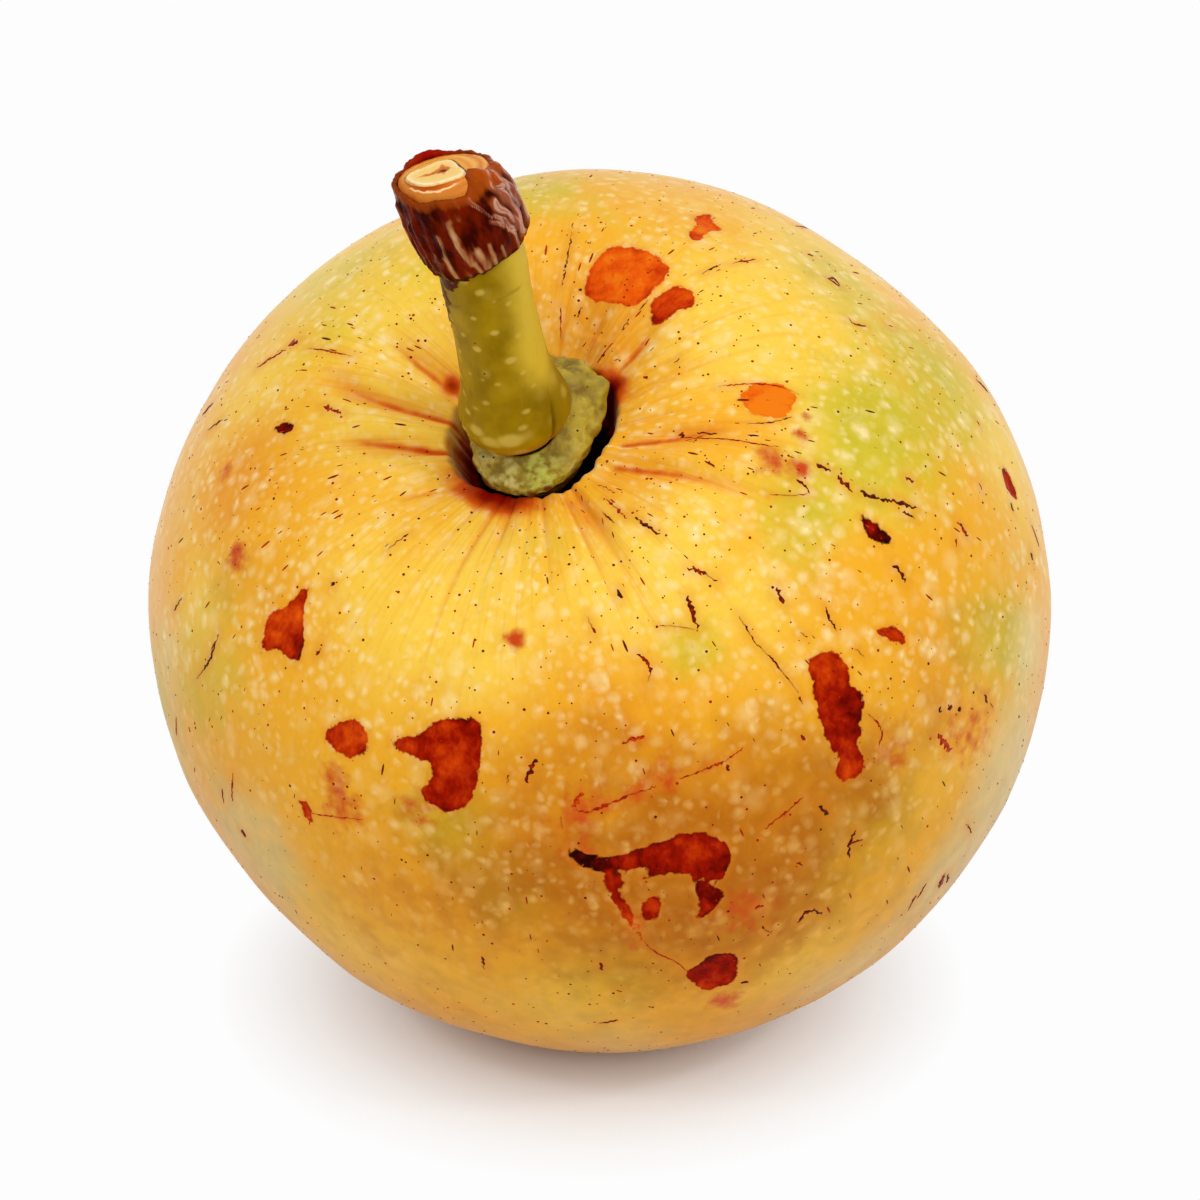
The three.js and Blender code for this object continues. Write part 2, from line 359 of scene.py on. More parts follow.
folded = fold_share(azimuth, r, FOLD_WIDTH_DEG)
fine_folded = fold_share(azimuth, r, FOLD_WIDTH_DEG / 3)
pleats = noise_sum(growth, PLEATS)
gathers = np.clip(1 - np.abs(noise_sum(growth, GATHERS)), 0, 1) ** 1.5
near_lip = bell(r - PIT_R, GATHER_REACH) * ease(r, PIT_R - 1, PIT_R + 2)
stem_side = z > 0
drawn_in = near_lip * (GATHER_DEPTH * gathers - PLEAT_DEPTH * pleats)
sunk_folds = BROAD_FOLD * folded + FINE_FOLD * fine_folded + drawn_in
skin[:, 2] -= np.where(stem_side, sunk_folds, 0)
# The pit is not round: its wall stands closer to the stalk in front and on the right.
squeeze = PIT_SQUEEZE * (1 - ease(turn_between(azimuth, SQUEEZE_MIDDLE), SQUEEZE_FULL, SQUEEZE_END))
squeeze = (squeeze + noise_sum(growth, PIT_WAVES)) * bell(r - PIT_R, SQUEEZE_DEPTH) * stem_side
skin[:, :2] *= (1 - squeeze / np.maximum(r, 1))[:, None]

facing = skin / np.linalg.norm(skin, axis=1)[:, None]
swelling = np.zeros(len(skin))
for swell_azimuth, polar, height, spread in SWELLINGS:
    apart_deg = np.degrees(np.arccos(np.clip(facing @ directions(swell_azimuth, polar)[0], -1, 1)))
    swelling += height * bell(apart_deg, spread)
outer = r > SOCKET_R + PIT_R
lumps = ease(r, 12, 20) * noise_sum(skin, LUMPS)
skin += facing * (np.where(outer, swelling, 0) + lumps)[:, None]
print("deepest fold", round(float(folded.max()), 2), "mm")

# %% [markdown]
# ## Scars
# Where the young skin was scratched or rubbed, cork grew and turned orange, then red, then
# almost black. Each big scar has a place on the skin, as azimuth and angle from the stem pole,
# and an outline of a few points in millimetres, x towards growing azimuth and y towards the stem.
# A smooth closed curve goes through the points. The tones run from 0, orange, to 1, black.

# %% The large scars
SCARS = {
    "pentagon": ((77, 28),
        [(3, 1), (2.6, -2), (0, -3.3), (-3.5, -2.5), (-3.8, 0), (-3, 2.4), (-.5, 3), (2, 3)],
        [(0.5, 0.5, .05), (-2.6, -1, .25), (1.5, 2.8, .4), (0, -2.8, .22), (2.4, -.6, .15)]),
    "notched": ((58, 28),
        [(1.3, 1.5), (1.4, 0), (1, -1.5), (-.5, -1.9), (-1.8, -.8), (-1, .6), (-1, 2.4), (0, 2.4)],
        [(0, 0, .3), (-1, 2, .5)]),
    "folded": ((71, 43),
        [(0, 2.7), (.5, .5), (1.7, -1.2), (1.4, -3.3), (0, -2), (-1.2, -1.5), (-.8, .2), (-1.1, 2.6)],
        [(0, 0, 0), (1.4, -2.6, .35), (.2, 2.4, .35)]),
    "orange_scale": ((17, 33),
        [(.7, 2.1), (1.8, .8), (1.9, -1.5), (1, -2.8), (-.6, -2.3), (-1.8, -1.2), (-1.6, .7),
         (-1, 1.8)], [(0, 0, -.15), (1.6, 0, .1), (-1.5, 1, 0)]),
    "triangle": ((-131, 44),
        [(-.8, 4.2), (-1.3, 1.8), (-2.2, -.3), (-2, -2), (-.7, -3.5), (.7, -2.2), (3.2, -1.5),
         (2.7, .4), (1, 2)], [(-.8, 0, .36), (2.4, .3, .7), (-.9, 3.2, .5), (.2, 1.6, .25)]),
    "feathered": ((-110, 50),
        [(-2.3, -1), (-1.5, .4), (.3, 1.7), (2, .8), (2.2, -.8), (.7, -2), (-1.2, -2)],
        [(-1, 0, .5), (1.2, 0, .2), (1.9, -.6, .6)]),
    "flag": ((-93, 49),
        [(-5.2, .8), (-2.7, 1.8), (-.6, 3.5), (2.2, 4.4), (3.7, 3.6), (3.8, -1.8), (2.9, -3.9),
         (.8, -4.9), (-1.6, -3.5), (-.5, -1.8), (-.9, -.4), (-3, -.1)],
        [(-4.2, .8, .55), (-1, 2.4, .6), (1.3, .6, .3), (3.2, 1, .62), (1, -3.4, .66), (2.4, 3.6, .6)]),
    "great_scar": ((-62, 64),
        [(-7.7, 3.5), (-4.8, 1.7), (-1.5, 1.7), (2.3, 1.8), (5, 1), (6.4, -1), (6, -2.8), (4.5, -4),
         (1, -1.8), (-2, -1.4), (-1, -.4), (-5, .3), (-7.2, 1.5)],
        [(-6.3, 2.1, 1), (-.6, .7, .68), (3.8, -.6, .55), (5.5, -2.7, .75), (-3, 1, .66),
         (1.8, .4, .5)]),
    "right_leg": ((-58, 72), [(-.2, 3), (1.8, .4), (0, -1.2), (-1.2, -1.6), (-.6, .3)], [(0, 0, .7)]),
    "left_leg": ((-68, 69),
        [(-.9, 4.2), (.6, 2.6), (-.2, 1.5), (.4, -.3), (.6, -4.8), (-.4, -1), (-1.2, 2.5)],
        [(0, 2, .6), (0, -3, .35)]),
    "fleck": ((-65, 70), [(-.3, .8), (.6, .9), (1.2, .4), (.2, -1.7), (-.8, -1)], [(0, 0, .55)]),
    "striped": ((-60, 84),
        [(-2.5, 1), (-1, 1.8), (.4, 2.6), (2.4, 1.6), (1.7, -2), (.5, -2.6), (-1.5, -2.4)],
        [(0, 0, .6), (1.5, 1.5, .75)]),
    "pink_top": ((-27, 54), [(-1, 1.9), (.8, 1.4), (1.6, -.3), (1, -2), (-.5, -1.8), (-1.8, .4)],
        [(0, 0, .45)]),
    "tall_red": ((-31, 62),
        [(.6, 6.2), (3, 3.8), (3.3, 1.5), (1.8, 0), (1.4, -1), (.2, -1.8), (-.3, -4.2), (-3, -3.6),
         (-2.6, -2), (-1.6, -1.3), (-1.9, .2), (-1.3, 2.7)],
        [(1.3, 4.6, .5), (.4, 2.4, .6), (1.8, 1.2, .85), (1.2, -.2, .8), (-1.6, -2.6, .35),
         (-.8, -1, .55)]),
    "grey_ring": ((-4, 50), [(.8, 1.9), (-.2, 1), (-.8, 0), (-.3, -1.7), (.5, -1.6), (.9, 0)],
        [(0, 0, .8)]),
    "lozenge": ((-16, 58), [(-.9, 1.4), (.3, .7), (.9, -1), (.3, -1.8), (-.3, -1), (-.8, .7)],
        [(0, 0, .45)]),
    "edge_lens": ((18, 74), [(1.7, .6), (1.3, -.8), (-.6, -1.8), (-1, 0), (0, .8)], [(0, 0, .6)]),
    "thorn_mark": ((-114, 63), [(-.9, .6), (0, .7), (.7, .2), (.7, -1), (-.2, -.6)], [(0, 0, .45)]),
    "left_ring": ((-173, 37), [(-.5, -.8), (-.7, 0), (-.4, 1.3), (.3, 1.4), (.4, .2)], [(0, 0, .85)]),
    "hidden_blot": ((120, 95), [(-3, 1), (0, 2.4), (3, 1.2), (2.5, -1.5), (0, -1), (-2.5, -2)],
        [(0, 0, .6)]),
    "hidden_patch": ((165, 120), [(-2, 2), (1, 3), (2.6, 0), (1, -3), (-1.8, -2)],
        [(0, 0, .4), (1, 1, .7)]),
    "blossom_end": ((0, 180), [(1.6, 0), (.5, 1.5), (-1.3, 1.1), (-1.5, -.6), (.2, -1.6)],
        [(0, 0, .8)]),
    "hidden_drop": ((62, 115), [(-1, 2.5), (1, 2), (1.2, -1), (0, -3), (-1.2, -1)], [(0, 0, .75)]),
}

# Faint rubbed places with no edge: azimuth, angle from the stem pole, radius in mm, strength.
RUBBED = [
    (-70.5, 54, 2.5, .38), (-71, 61, 2.5, .4), (-66.5, 72, 2.5, .42), (-79, 33, 1.3, .9),
    (-150, 46, 1.8, .9), (-169, 47, 1.5, .55), (-44, 41, 2, .3), (-16, 78, 4.5, .55),
    (-54, 75, 3.5, .6), (-108, 60, 2.6, .7), (-96, 56, 3, .55), (-111, 56, 2, .6), (-74, 58, 3, .35),
    (1, 34, 1.9, .8), (1, 38, 1.5, .8), (9, 37.5, 1.1, .8), (14, 38, .8, .7), (-60, 91, 2.2, .7),
    (-58, 53, 3, .4), (-71, 55.2, 1.2, .8), (-66.5, 55.2, 1.2, .65), (-62, 54.8, 1.2, .75),
    (-57, 54.8, 1.1, .6), (-51, 55, 1.1, .55), (-47, 55.3, 1, .5), (-60, 48.2, .9, .6),
    (-44, 65.5, 1, .5), (-68, 76, .9, .5), (-27, 69, 3, .5), (95, 80, 4, .5), (140, 70, 3, .5),
    (175, 95, 4, .5), (30, 100, 3, .4),
]
print(len(SCARS), "scars and", len(RUBBED), "rubbed places")

# %% [markdown]
# ## Cork streaks
# Twigs and insects also left thin cuts that healed as dark ridges of cork. Each one is a short
# path over the skin: its width in millimetres, how dark it is, and the places it runs
# through, as azimuth and angle from the stem pole.

# %% The thin streaks
STREAKS = {
    "left_side": [
        (1.0, .7, [(165, 42.5), (164, 41)]), (.4, .6, [(166, 42.5), (169.5, 47.5)]),
        (.2, .6, [(165.5, 38), (165.5, 30)]), (.5, .9, [(174, 61.5), (173, 58)]),
        (.3, .9, [(179.5, 55), (179, 51)]), (.6, .6, [(-178, 31), (-175.5, 28)]),
        (.4, .95, [(-142, 63), (-141, 58), (-142, 54)]), (.4, .95, [(-154, 63), (-154, 60)]),
        (.2, .8, [(-144.5, 74), (-144, 77.5)]), (.3, .8, [(-130.5, 72.5), (-130, 75)]),
        (.3, .8, [(-128.5, 67.5), (-128, 72.5)]), (.8, .9, [(-126, 76.5), (-125, 76.3)]),
        (.4, .95, [(-126, 44), (-125, 46)]), (.5, .9, [(-129, 35.3), (-128.3, 35.5)]),
        (.4, .8, [(-122, 43.6), (-121.8, 42.5)]), (.3, .85, [(-123.5, 24), (-124, 27.3)]),
        (.25, .5, [(-113, 63), (-104.5, 60)]),
    ],
    "front": [
        (.6, .95, [(-51, 30), (-52, 31)]), (.5, .8, [(-38, 35.3), (-39.4, 37), (-40.5, 39.3)]),
        (.15, .6, [(-47, 36.4), (-43.6, 37.7), (-41, 39.3)]),
        (.4, .8, [(-34, 32.6), (-32, 34.2), (-31, 36.3)]), (.4, .7, [(-61, 31.7), (-60.8, 34)]),
        (.4, .75, [(-53.7, 38.3), (-52.5, 40.5), (-54, 42)]), (.25, .8, [(-32.5, 41.4), (-33.5, 45.3)]),
        (.5, .55, [(-62, 48), (-58, 48)]), (.7, .85, [(-76.7, 48), (-78.4, 51)]),
        (.4, .8, [(-81.3, 50), (-81.5, 51)]), (.6, .5, [(-70, 53), (-72, 54.7)]),
        (.2, .7, [(-74, 55.7), (-74, 57.3)]),
        (.4, .6, [(-72, 55), (-69.5, 55.6), (-66, 55), (-59, 54.6)]),
        (.3, .55, [(-55.3, 54.8), (-51.4, 55), (-47.6, 55.3), (-44.6, 55)]),
        (.4, .9, [(-48, 55.8), (-48.2, 56.6)]), (.4, .6, [(-47.3, 65.8), (-40.7, 65)]),
        (.4, .85, [(-36.6, 58), (-36.2, 58.8)]), (.4, .7, [(-33.4, 54), (-33.6, 55)]),
        (.2, .8, [(-33.5, 45), (-33, 47.8), (-33, 50.3), (-33, 53.6)]),
        (.3, .9, [(-21.8, 55), (-21.7, 56.7)]),
        (.3, .6, [(-26.8, 62.2), (-26.5, 64.6), (-27.2, 66), (-28.6, 67)]),
    ],
    "low_front": [
        (.5, .9, [(-39.4, 76.8), (-38.4, 75), (-36.8, 74)]), (.3, .7, [(-38.3, 75), (-36.6, 76)]),
        (.5, .9, [(-48.4, 81.5), (-47.4, 80.5), (-46.2, 80.8), (-45.3, 82.3)]),
        (.4, .8, [(-45.5, 72.5), (-45, 73.3)]), (.4, .85, [(-75.7, 91.7), (-73.2, 91)]),
        (.4, .85, [(-88, 77.3), (-88, 79.8)]), (.4, .8, [(-73, 78), (-73, 79.4)]),
        (.4, .9, [(-72, 83.6), (-71.4, 84)]), (.4, .85, [(-57.5, 88.2), (-56.6, 88.3)]),
        (.5, .6, [(-52.5, 75.6), (-51.6, 76)]), (.3, .8, [(-52.6, 79), (-52, 81)]),
        (.2, .6, [(-67, 75), (-66, 77.5), (-64, 80), (-63, 82.4)]),
    ],
    "right_side": [
        (.6, .9, [(-18, 70.6), (-18.3, 71.2)]), (.7, .9, [(-16.7, 72), (-17, 72.5)]),
        (.6, .9, [(-15.5, 73.8), (-16, 74.2)]), (.3, .8, [(-14.3, 75.8), (-14.2, 76.2)]),
        (.4, .9, [(-11.5, 77), (-11.7, 78.4)]), (.3, .9, [(-11.4, 79), (-11.5, 80)]),
        (.8, .55, [(-20.6, 73), (-20.2, 76.8)]), (.3, .85, [(-31.4, 92.4), (-33, 94)]),
        (.4, .9, [(-33.2, 92.8), (-34.8, 95)]), (.8, .8, [(-28.4, 95), (-29.4, 97.6)]),
        (.5, .85, [(-27.5, 96.3), (-28, 98.8)]), (.7, .9, [(-39.4, 67.4), (-38.9, 69.2)]),
        (.4, .9, [(-23, 89.8), (-22.7, 92.7)]), (.5, .85, [(-7, 54), (-7.2, 55.2), (-8, 56.6)]),
        (.5, .85, [(-23.4, 42.3), (-24.7, 44.3)]), (.3, .85, [(-20, 48.8), (-21, 49.8), (-21.7, 51.8)]),
        (.4, .85, [(-26.5, 48.3), (-26, 49.3)]), (.5, .6, [(5.7, 62), (4.6, 64.2)]),
        (.3, .6, [(3, 62.2), (2, 62.6)]), (.3, .9, [(14, 66), (13.2, 66.5)]),
        (.3, .9, [(15.2, 74), (14.2, 74.5)]), (.4, .7, [(15.4, 80.6), (14, 83.7)]),
        (.6, .85, [(11, 80), (10.3, 80.6)]), (.5, .7, [(7.8, 52.8), (8, 54)]),
        (.4, .9, [(35.5, 74.8), (35.3, 78.6)]), (.3, .6, [(25.6, 68.6), (25, 69)]),
    ],
    "upper_right": [
        (.5, .85, [(3.5, 40), (3, 42)]), (.6, .8, [(2.6, 43), (1, 45.6)]),
        (.7, .9, [(1.5, 46.6), (2.3, 49.2)]), (.5, .9, [(2, 49.2), (3.3, 52.5), (3.7, 55)]),
        (.35, .9, [(2, 53), (2, 55)]), (.2, .6, [(-7, 35.6), (-5.3, 38), (-3.2, 40.2)]),
        (.35, .85, [(-3, 40.2), (-1.7, 39), (-1.5, 38)]),
        (.2, .65, [(5, 22.5), (4.2, 27.5), (4.2, 32.5), (4.8, 34.8)]),
        (.6, .85, [(7.2, 22.4), (5, 22.7)]), (.3, .85, [(7, 24.5), (6.6, 27)]),
        (.2, .55, [(22.6, 27), (22, 31.7), (21.3, 35), (19.4, 37.4)]),
        (.2, .8, [(10.2, 30.6), (11, 33.4), (13.2, 36.2)]),
        (.3, .8, [(40.3, 50.3), (38.8, 50.6), (38.7, 52.8)]), (.4, .8, [(40, 58), (39.7, 58.7)]),
        (.25, .85, [(60, 34.3), (59.6, 37.7)]), (.3, .6, [(58.5, 39.2), (57.8, 43.3)]),
        (.3, .85, [(67, 63), (67.7, 67.8)]), (.5, .9, [(51.2, 53.5), (51.4, 55), (49.5, 55)]),
        (.5, .8, [(51.2, 53.5), (49.2, 54.5)]), (.3, .8, [(58.2, 55.3), (57.7, 56.2)]),
        (.3, .7, [(37.6, 23), (38.4, 23.8)]),
    ],
    "near_pit": [
        (.3, .85, [(95.4, 33), (94.6, 28.5), (94.4, 24)]), (.2, .6, [(93.3, 21), (91, 17)]),
        (.2, .8, [(85.4, 21.7), (85.5, 20.4)]), (.3, .85, [(65, 22.5), (64, 20.7)]),
        (.2, .85, [(64.2, 26.2), (64.2, 24.4)]), (.2, .6, [(64.6, 15.3), (63.8, 18.6)]),
        (.3, .55, [(-31, 14.6), (-29.7, 17.6)]), (.4, .6, [(-34.6, 17.2), (-35.8, 22)]),
        (.45, .85, [(-33.5, 22.7), (-32.6, 26.8)]), (.2, .8, [(-41, 18.7), (-40.4, 21.3)]),
    ],
    "far_side": [
        (.4, .8, [(120, 60), (121, 63)]), (.3, .9, [(135, 75), (134, 79), (136, 81)]),
        (.5, .85, [(108, 84), (110, 85)]), (.3, .8, [(150, 100), (152, 97)]),
        (.6, .6, [(90, 100), (95, 102), (98, 101)]), (.4, .9, [(170, 78), (171, 80)]),
        (.3, .85, [(60, 92), (61, 95)]), (.4, .8, [(-160, 95), (-157, 96)]),
        (.3, .9, [(-170, 112), (-168, 109)]),
    ],
}
streaks = [streak for group in STREAKS.values() for streak in group]
print(len(streaks), "streaks")

# %% [markdown]
# ## How far from a scar
# Every point of the skin gets its distance to the nearest scar's edge, negative inside. A
# distance changes evenly from point to point, so the finish can draw a sharp edge, a
# halo and a darker rim between them, all from one number.

# %% Distances to the scars
OUTLINE_STEPS, PATH_STEPS = 6, 5  # places on a curve from one of its points to the next
SCAR_SINK, SCAR_RIM, FAR = 0.10, 0.06, 4.0  # depth, height of the rim, and far from every scar
NEAR_SCAR = 0.94  # cosine of an angle that no scar reaches past
STREAK_HALO_MM = 0.65


def smooth_curve(points, steps, closed=False):
    """A Catmull-Rom curve through the points: a closed loop, or with straight run-outs."""
    p = np.array(points, float)
    if closed:
        p = np.vstack([p[-1:], p, p[:2]])
    else:
        p = np.vstack([2 * p[:1] - p[1:2], p, 2 * p[-1:] - p[-2:-1]])
    before, here, after, beyond = p[:-3], p[1:-2], p[2:-1], p[3:]
    rows = []
    for t in np.linspace(0, 1, steps, endpoint=False):
        rows.append(0.5 * (2 * here + (after - before) * t
                           + (2 * before - 5 * here + 4 * after - beyond) * t ** 2
                           + (3 * here - before - 3 * after + beyond) * t ** 3))
    curve = np.stack(rows, 1).reshape(-1, p.shape[1])
    return curve if closed else np.vstack([curve, p[-2:-1]])


def signed_distance(spot, loop):
    """Distance of each 2-D spot from a closed loop, negative inside it."""
    nearest = np.full(len(spot), np.inf)
    inside = np.zeros(len(spot), bool)
    for a, b in zip(loop, np.roll(loop, -1, 0)):
        edge, to = b - a, spot - a
        share = np.clip(to @ edge / max(edge @ edge, 1e-9), 0, 1)
        nearest = np.minimum(nearest, np.linalg.norm(to - share[:, None] * edge, axis=1))
        crosses = (a[1] > spot[:, 1]) != (b[1] > spot[:, 1])
        rise = edge[1] if abs(edge[1]) > 1e-9 else 1e-9
        inside ^= crosses & (spot[:, 0] < a[0] + edge[0] * (spot[:, 1] - a[1]) / rise)
    return np.where(inside, -nearest, nearest)


scar_distance = np.full(len(skin), FAR)
scar_tone = np.full(len(skin), 0.5)
for place, outline, tones in SCARS.values():
    out, east, stemward = directions(*place)
    near = np.flatnonzero(skin @ out > NEAR_SCAR * np.linalg.norm(skin, axis=1))
    spot = np.stack([skin[near] @ east, skin[near] @ stemward], 1)
    distance = signed_distance(spot, smooth_curve(outline, OUTLINE_STEPS, closed=True))
    tone_r = [np.hypot(spot[:, 0] - x, spot[:, 1] - y) for x, y, _ in tones]
    weights = np.stack([1 / (apart + 0.4) ** 2 for apart in tone_r], 1)
    tone = weights @ np.array([t for _, _, t in tones]) / weights.sum(1)
    closer = distance < scar_distance[near]
    scar_distance[near[closer]] = distance[closer]
    scar_tone[near[closer]] = tone[closer]


def path_spots(path, spacing=0.3):
    """Unit directions from the fruit's centre along a path over the skin."""
    turns = np.array([directions(*place)[0] for place in path])
    if len(turns) > 2:
        turns = smooth_curve(turns, PATH_STEPS)
    steps = EQUATOR_R * np.linalg.norm(np.diff(turns, axis=0), axis=1)
    reach = np.concatenate([[0], np.cumsum(steps)])
    at = np.linspace(0, reach[-1], max(4, round(reach[-1] / spacing)))
    spots = np.stack([np.interp(at, reach, turns[:, k]) for k in range(3)], 1)
    return spots / np.linalg.norm(spots, axis=1)[:, None]


# The deepest folds are creases with a path of their own, and the skin between two of them is a
# raised roll: width in mm, depth in mm (negative when raised), and the places.
CREASES = [
    (1.1, .55, [(-16, 15), (-9.9, 26.6), (-7.8, 32.9), (-3.5, 40.3)]),
    (1.1, .55, [(-.4, 14.5), (4.5, 22.3), (9, 28.4), (13, 36)]),
    (1.1, .5, [(50, 15.5), (53.5, 20.8), (57, 25)]),
    (1.3, .8, [(178, 14.5), (177.4, 23.9), (173.3, 30.1), (169, 38)]),
    (1.2, .7, [(-159.6, 14.8), (-163.5, 20.3), (-166, 25.2), (-169, 31)]),
    (1.3, .5, [(160, 15), (158, 22), (155, 30)]), (.9, .3, [(72, 15), (74, 20), (75, 25)]),
    (.8, .25, [(-130, 14.5), (-137, 20), (-139, 26)]), (.8, .2, [(-88, 14), (-90, 18), (-90, 23)]),
    (.8, .2, [(-52, 14), (-48, 19), (-46, 24)]), (.9, .3, [(110, 15), (112, 23)]),
    (.9, .3, [(134, 15), (132, 24)]), (1.6, -.7, [(-170.5, 15), (-173, 23), (-176, 32)]),
    (1.7, -.6, [(168, 15), (166, 24), (163, 33)]), (1.6, -.4, [(-150, 15), (-154, 22), (-158, 30)]),
    (1.5, -.5, [(-8, 15), (-3, 25), (1, 32), (5, 40)]), (1.5, -.4, [(41, 15), (44, 25)]),
    (1.5, -.4, [(61, 15), (64, 24)]),
]

unit = skin / np.linalg.norm(skin, axis=1)[:, None]
crease = np.zeros(len(skin))
crease_depth = np.zeros(len(skin))
# Painted shade in the valleys of the pleats near the pit; the creases below add to it.
furrow = near_lip * np.clip(0.55 * gathers - 0.6 * pleats, 0, 1) * (z > 0)
for width, depth, path in CREASES:
    spots = path_spots(path, 0.15)
    near = np.flatnonzero((unit @ spots.mean(0) > 0.85) & (r > PIT_R - 1))
    to_spots = unit[near] @ spots.T
    apart = np.linalg.norm(skin[near], axis=1) * np.sqrt(np.maximum(2 - 2 * to_spots.max(1), 0))
    fading = 1 - ease(to_spots.argmax(1) / (len(spots) - 1), 0.45, 1)
    crease_depth[near] += depth * fading * bell(apart, width)
    crease[near] = np.maximum(crease[near], np.clip(1.7 * depth, 0, 1) * fading * bell(apart, 0.38))
    furrow[near] += 1.3 * depth * fading * bell(apart, 1.2 * width)
skin[:, 2] -= crease_depth

streak_halo = np.zeros(len(skin))
for width, darkness, path in streaks:
    spots = path_spots(path, 0.6)
    near = np.flatnonzero(unit @ spots.mean(0) > 0.96)
    apart = EQUATOR_R * np.sqrt(np.maximum(2 - 2 * (unit[near] @ spots.T).max(1), 0))
    halo = bell(np.maximum(apart - width / 2, 0), STREAK_HALO_MM)
    streak_halo[near] = np.maximum(streak_halo[near], halo)

sunk = 1 - ease(scar_distance, -0.7, 0.1)
rim = bell(scar_distance - 0.15, 0.35)
skin += facing * (SCAR_RIM * rim - SCAR_SINK * sunk)[:, None]
print("share of the skin under scars:", round(float((scar_distance < 0).mean()), 4))

# %% [markdown]
# ## Where the skin changes colour
# Ripening is uneven: orange shoulders, lemon and cream where the light fell, green where it
# didn't, and brown ochre low in front, partly painted shade on the lower right. Pale spots along
# the right and lower edges are painted light reflected from the white table. Each colour has a few
# broad soft spots, placed by azimuth, angle from the stem pole, radius in mm and strength, and the
# finish breaks them up with noise. Painted shade turns the skin deeper ochre towards the ground,
# and another number darkens it into the pit and its creases, with painted shade at the bottom of
# the pit and under the collar in front.

# %% Broad spots of colour
COLOUR_SPOTS = {
    "orange": [
        (-12, 20, 8, .6), (172, 19, 9, .2), (-148, 30, 9, .45), (73, 19, 9, .9), (-100, 40, 9, .3),
        (-167, 44, 9, .8), (-132, 43, 8, .5), (-60, 43, 9, .6), (-11, 57, 9, .4), (-17, 70, 8, .35),
        (-75, 62, 12, .8), (-98, 70, 12, .6), (-53, 71, 10, .6), (-66, 72, 5, .5), (-50, 58, 9, .5),
        (6, 63, 7, .3), (120, 25, 8, .5), (-20, 45, 5, .3), (150, 70, 14, .4), (80, 75, 14, .4),
    ],
    "green": [
        (15, 50, 9, .75), (32, 62, 11, .8), (52, 56, 8, .4), (-44, 41, 4, .7), (-91, 57, 6, .8),
        (-82, 67, 5, .6), (-141, 62, 7, .7), (-143, 48, 5, .3), (-71, 80, 7, .7), (-36, 73, 7, .7),
        (-47, 78, 6, .5), (110, 46, 10, .8), (131, 31, 6, .5), (163, 37, 7, .4), (148, 52, 10, .6),
        (-4, 76, 8, .7), (-18, 98, 9, .5), (-129, 79, 8, .4), (-152, 78, 8, .7), (-119, 76, 6, .5),
        (-9, 40, 6, .7), (-65, 21, 4, .4), (10, 44, 7, .5), (100, 110, 16, .6), (-160, 110, 14, .6),
        (-70, 58, 4, .4),
    ],
    "cream": [
        (46, 38, 9, .9), (29, 42, 8, .8), (147, 29, 8, .8), (146, 53, 10, .8), (25, 75, 8, .8),
        (-168, 19, 4, .6), (-95, 23, 6, .6), (-106, 34, 8, .7), (-88, 35, 6, .7), (-131, 32, 6, .6),
        (-50, 33, 7, .7), (177, 45, 7, .6), (-29, 41, 6, .5), (20, 46, 6, .4), (-25, 77, 6, .3),
        (-50, 89, 7, .5), (8, 45, 7, .7), (-20, 27, 6, .7), (-80, 88, 9, .5), (-110, 83, 9, .5),
        (-96, 77, 6, .3), (-150, 56, 6, .4), (89, 14, 6, .4), (-172, 24, 8, .7), (-45, 26, 6, .7),
        (44, 28, 6, .5), (60, 60, 14, .5),
    ],
    # Brown ochre low in front, partly painted shade on the lower right.
    "ochre": [
        (-75, 54, 12, .35), (-60, 58, 11, .36), (-72, 68, 12, .5), (-57, 72, 10, .5), (-45, 61, 9, .42),
        (-19, 71, 8, .3), (0, 73, 8, .2), (-33, 70, 8, .4), (-90, 62, 8, .35), (-146, 47, 6, .3),
        (140, 95, 14, .5), (60, 90, 14, .4), (-39, 67, 7, .7), (-62, 75, 9, .6), (-50, 78, 8, .5),
    ],
    # Pale spots along the right and lower edges and underneath: painted light from the white table.
    "pale": [
        (-14, 90, 7, .9), (-15, 97, 8, .8), (-121, 74, 8, .6), (-26, 97, 8, .9), (-45, 100, 8, .8),
        (0, 84, 6, .8), (-75, 100, 9, .5), (-125, 80, 9, .6), (-152, 68, 7, .5), (-168, 60, 6, .5),
        (100, 125, 16, .6), (-160, 130, 16, .5),
    ],
}
LOW_SHADE_START_MM, LOW_SHADE_END_MM = 54, 22  # heights where the painted shade, a deeper ochre, sets in and where it is full
RIM_WAVES = [(0.5, 4.0, 6.0, 0)]
CREASE_DARKENING, FIBRE_REACH_MM = 0.36, 24
# Where the pit's darkening runs out (in front, painted shadow under the collar): azimuth, width in
# degrees, strength, and how far past the pit's edge it is full and ends, in mm
PIT_RUNS = [(47, 13, .85, .4, 3.2), (-105, 34, .75, 1, 3.4), (-163, 16, .35, -.5, 1.6)]
DIRT_SPOT = (157, 17, 1.3, 1)


unit = skin / np.linalg.norm(skin, axis=1)[:, None]


def spots_share(spots):
    """Joined share of soft spots: 0 on plain skin, 1 in the middle of a strong one."""
    left = np.ones(len(skin))
    for spot_azimuth, polar, radius, most in spots:
        out, _, _ = directions(spot_azimuth, polar)
        apart = EQUATOR_R * np.arccos(np.clip(unit @ out, -1, 1))
        left *= 1 - most * bell(apart, radius)
    return 1 - left


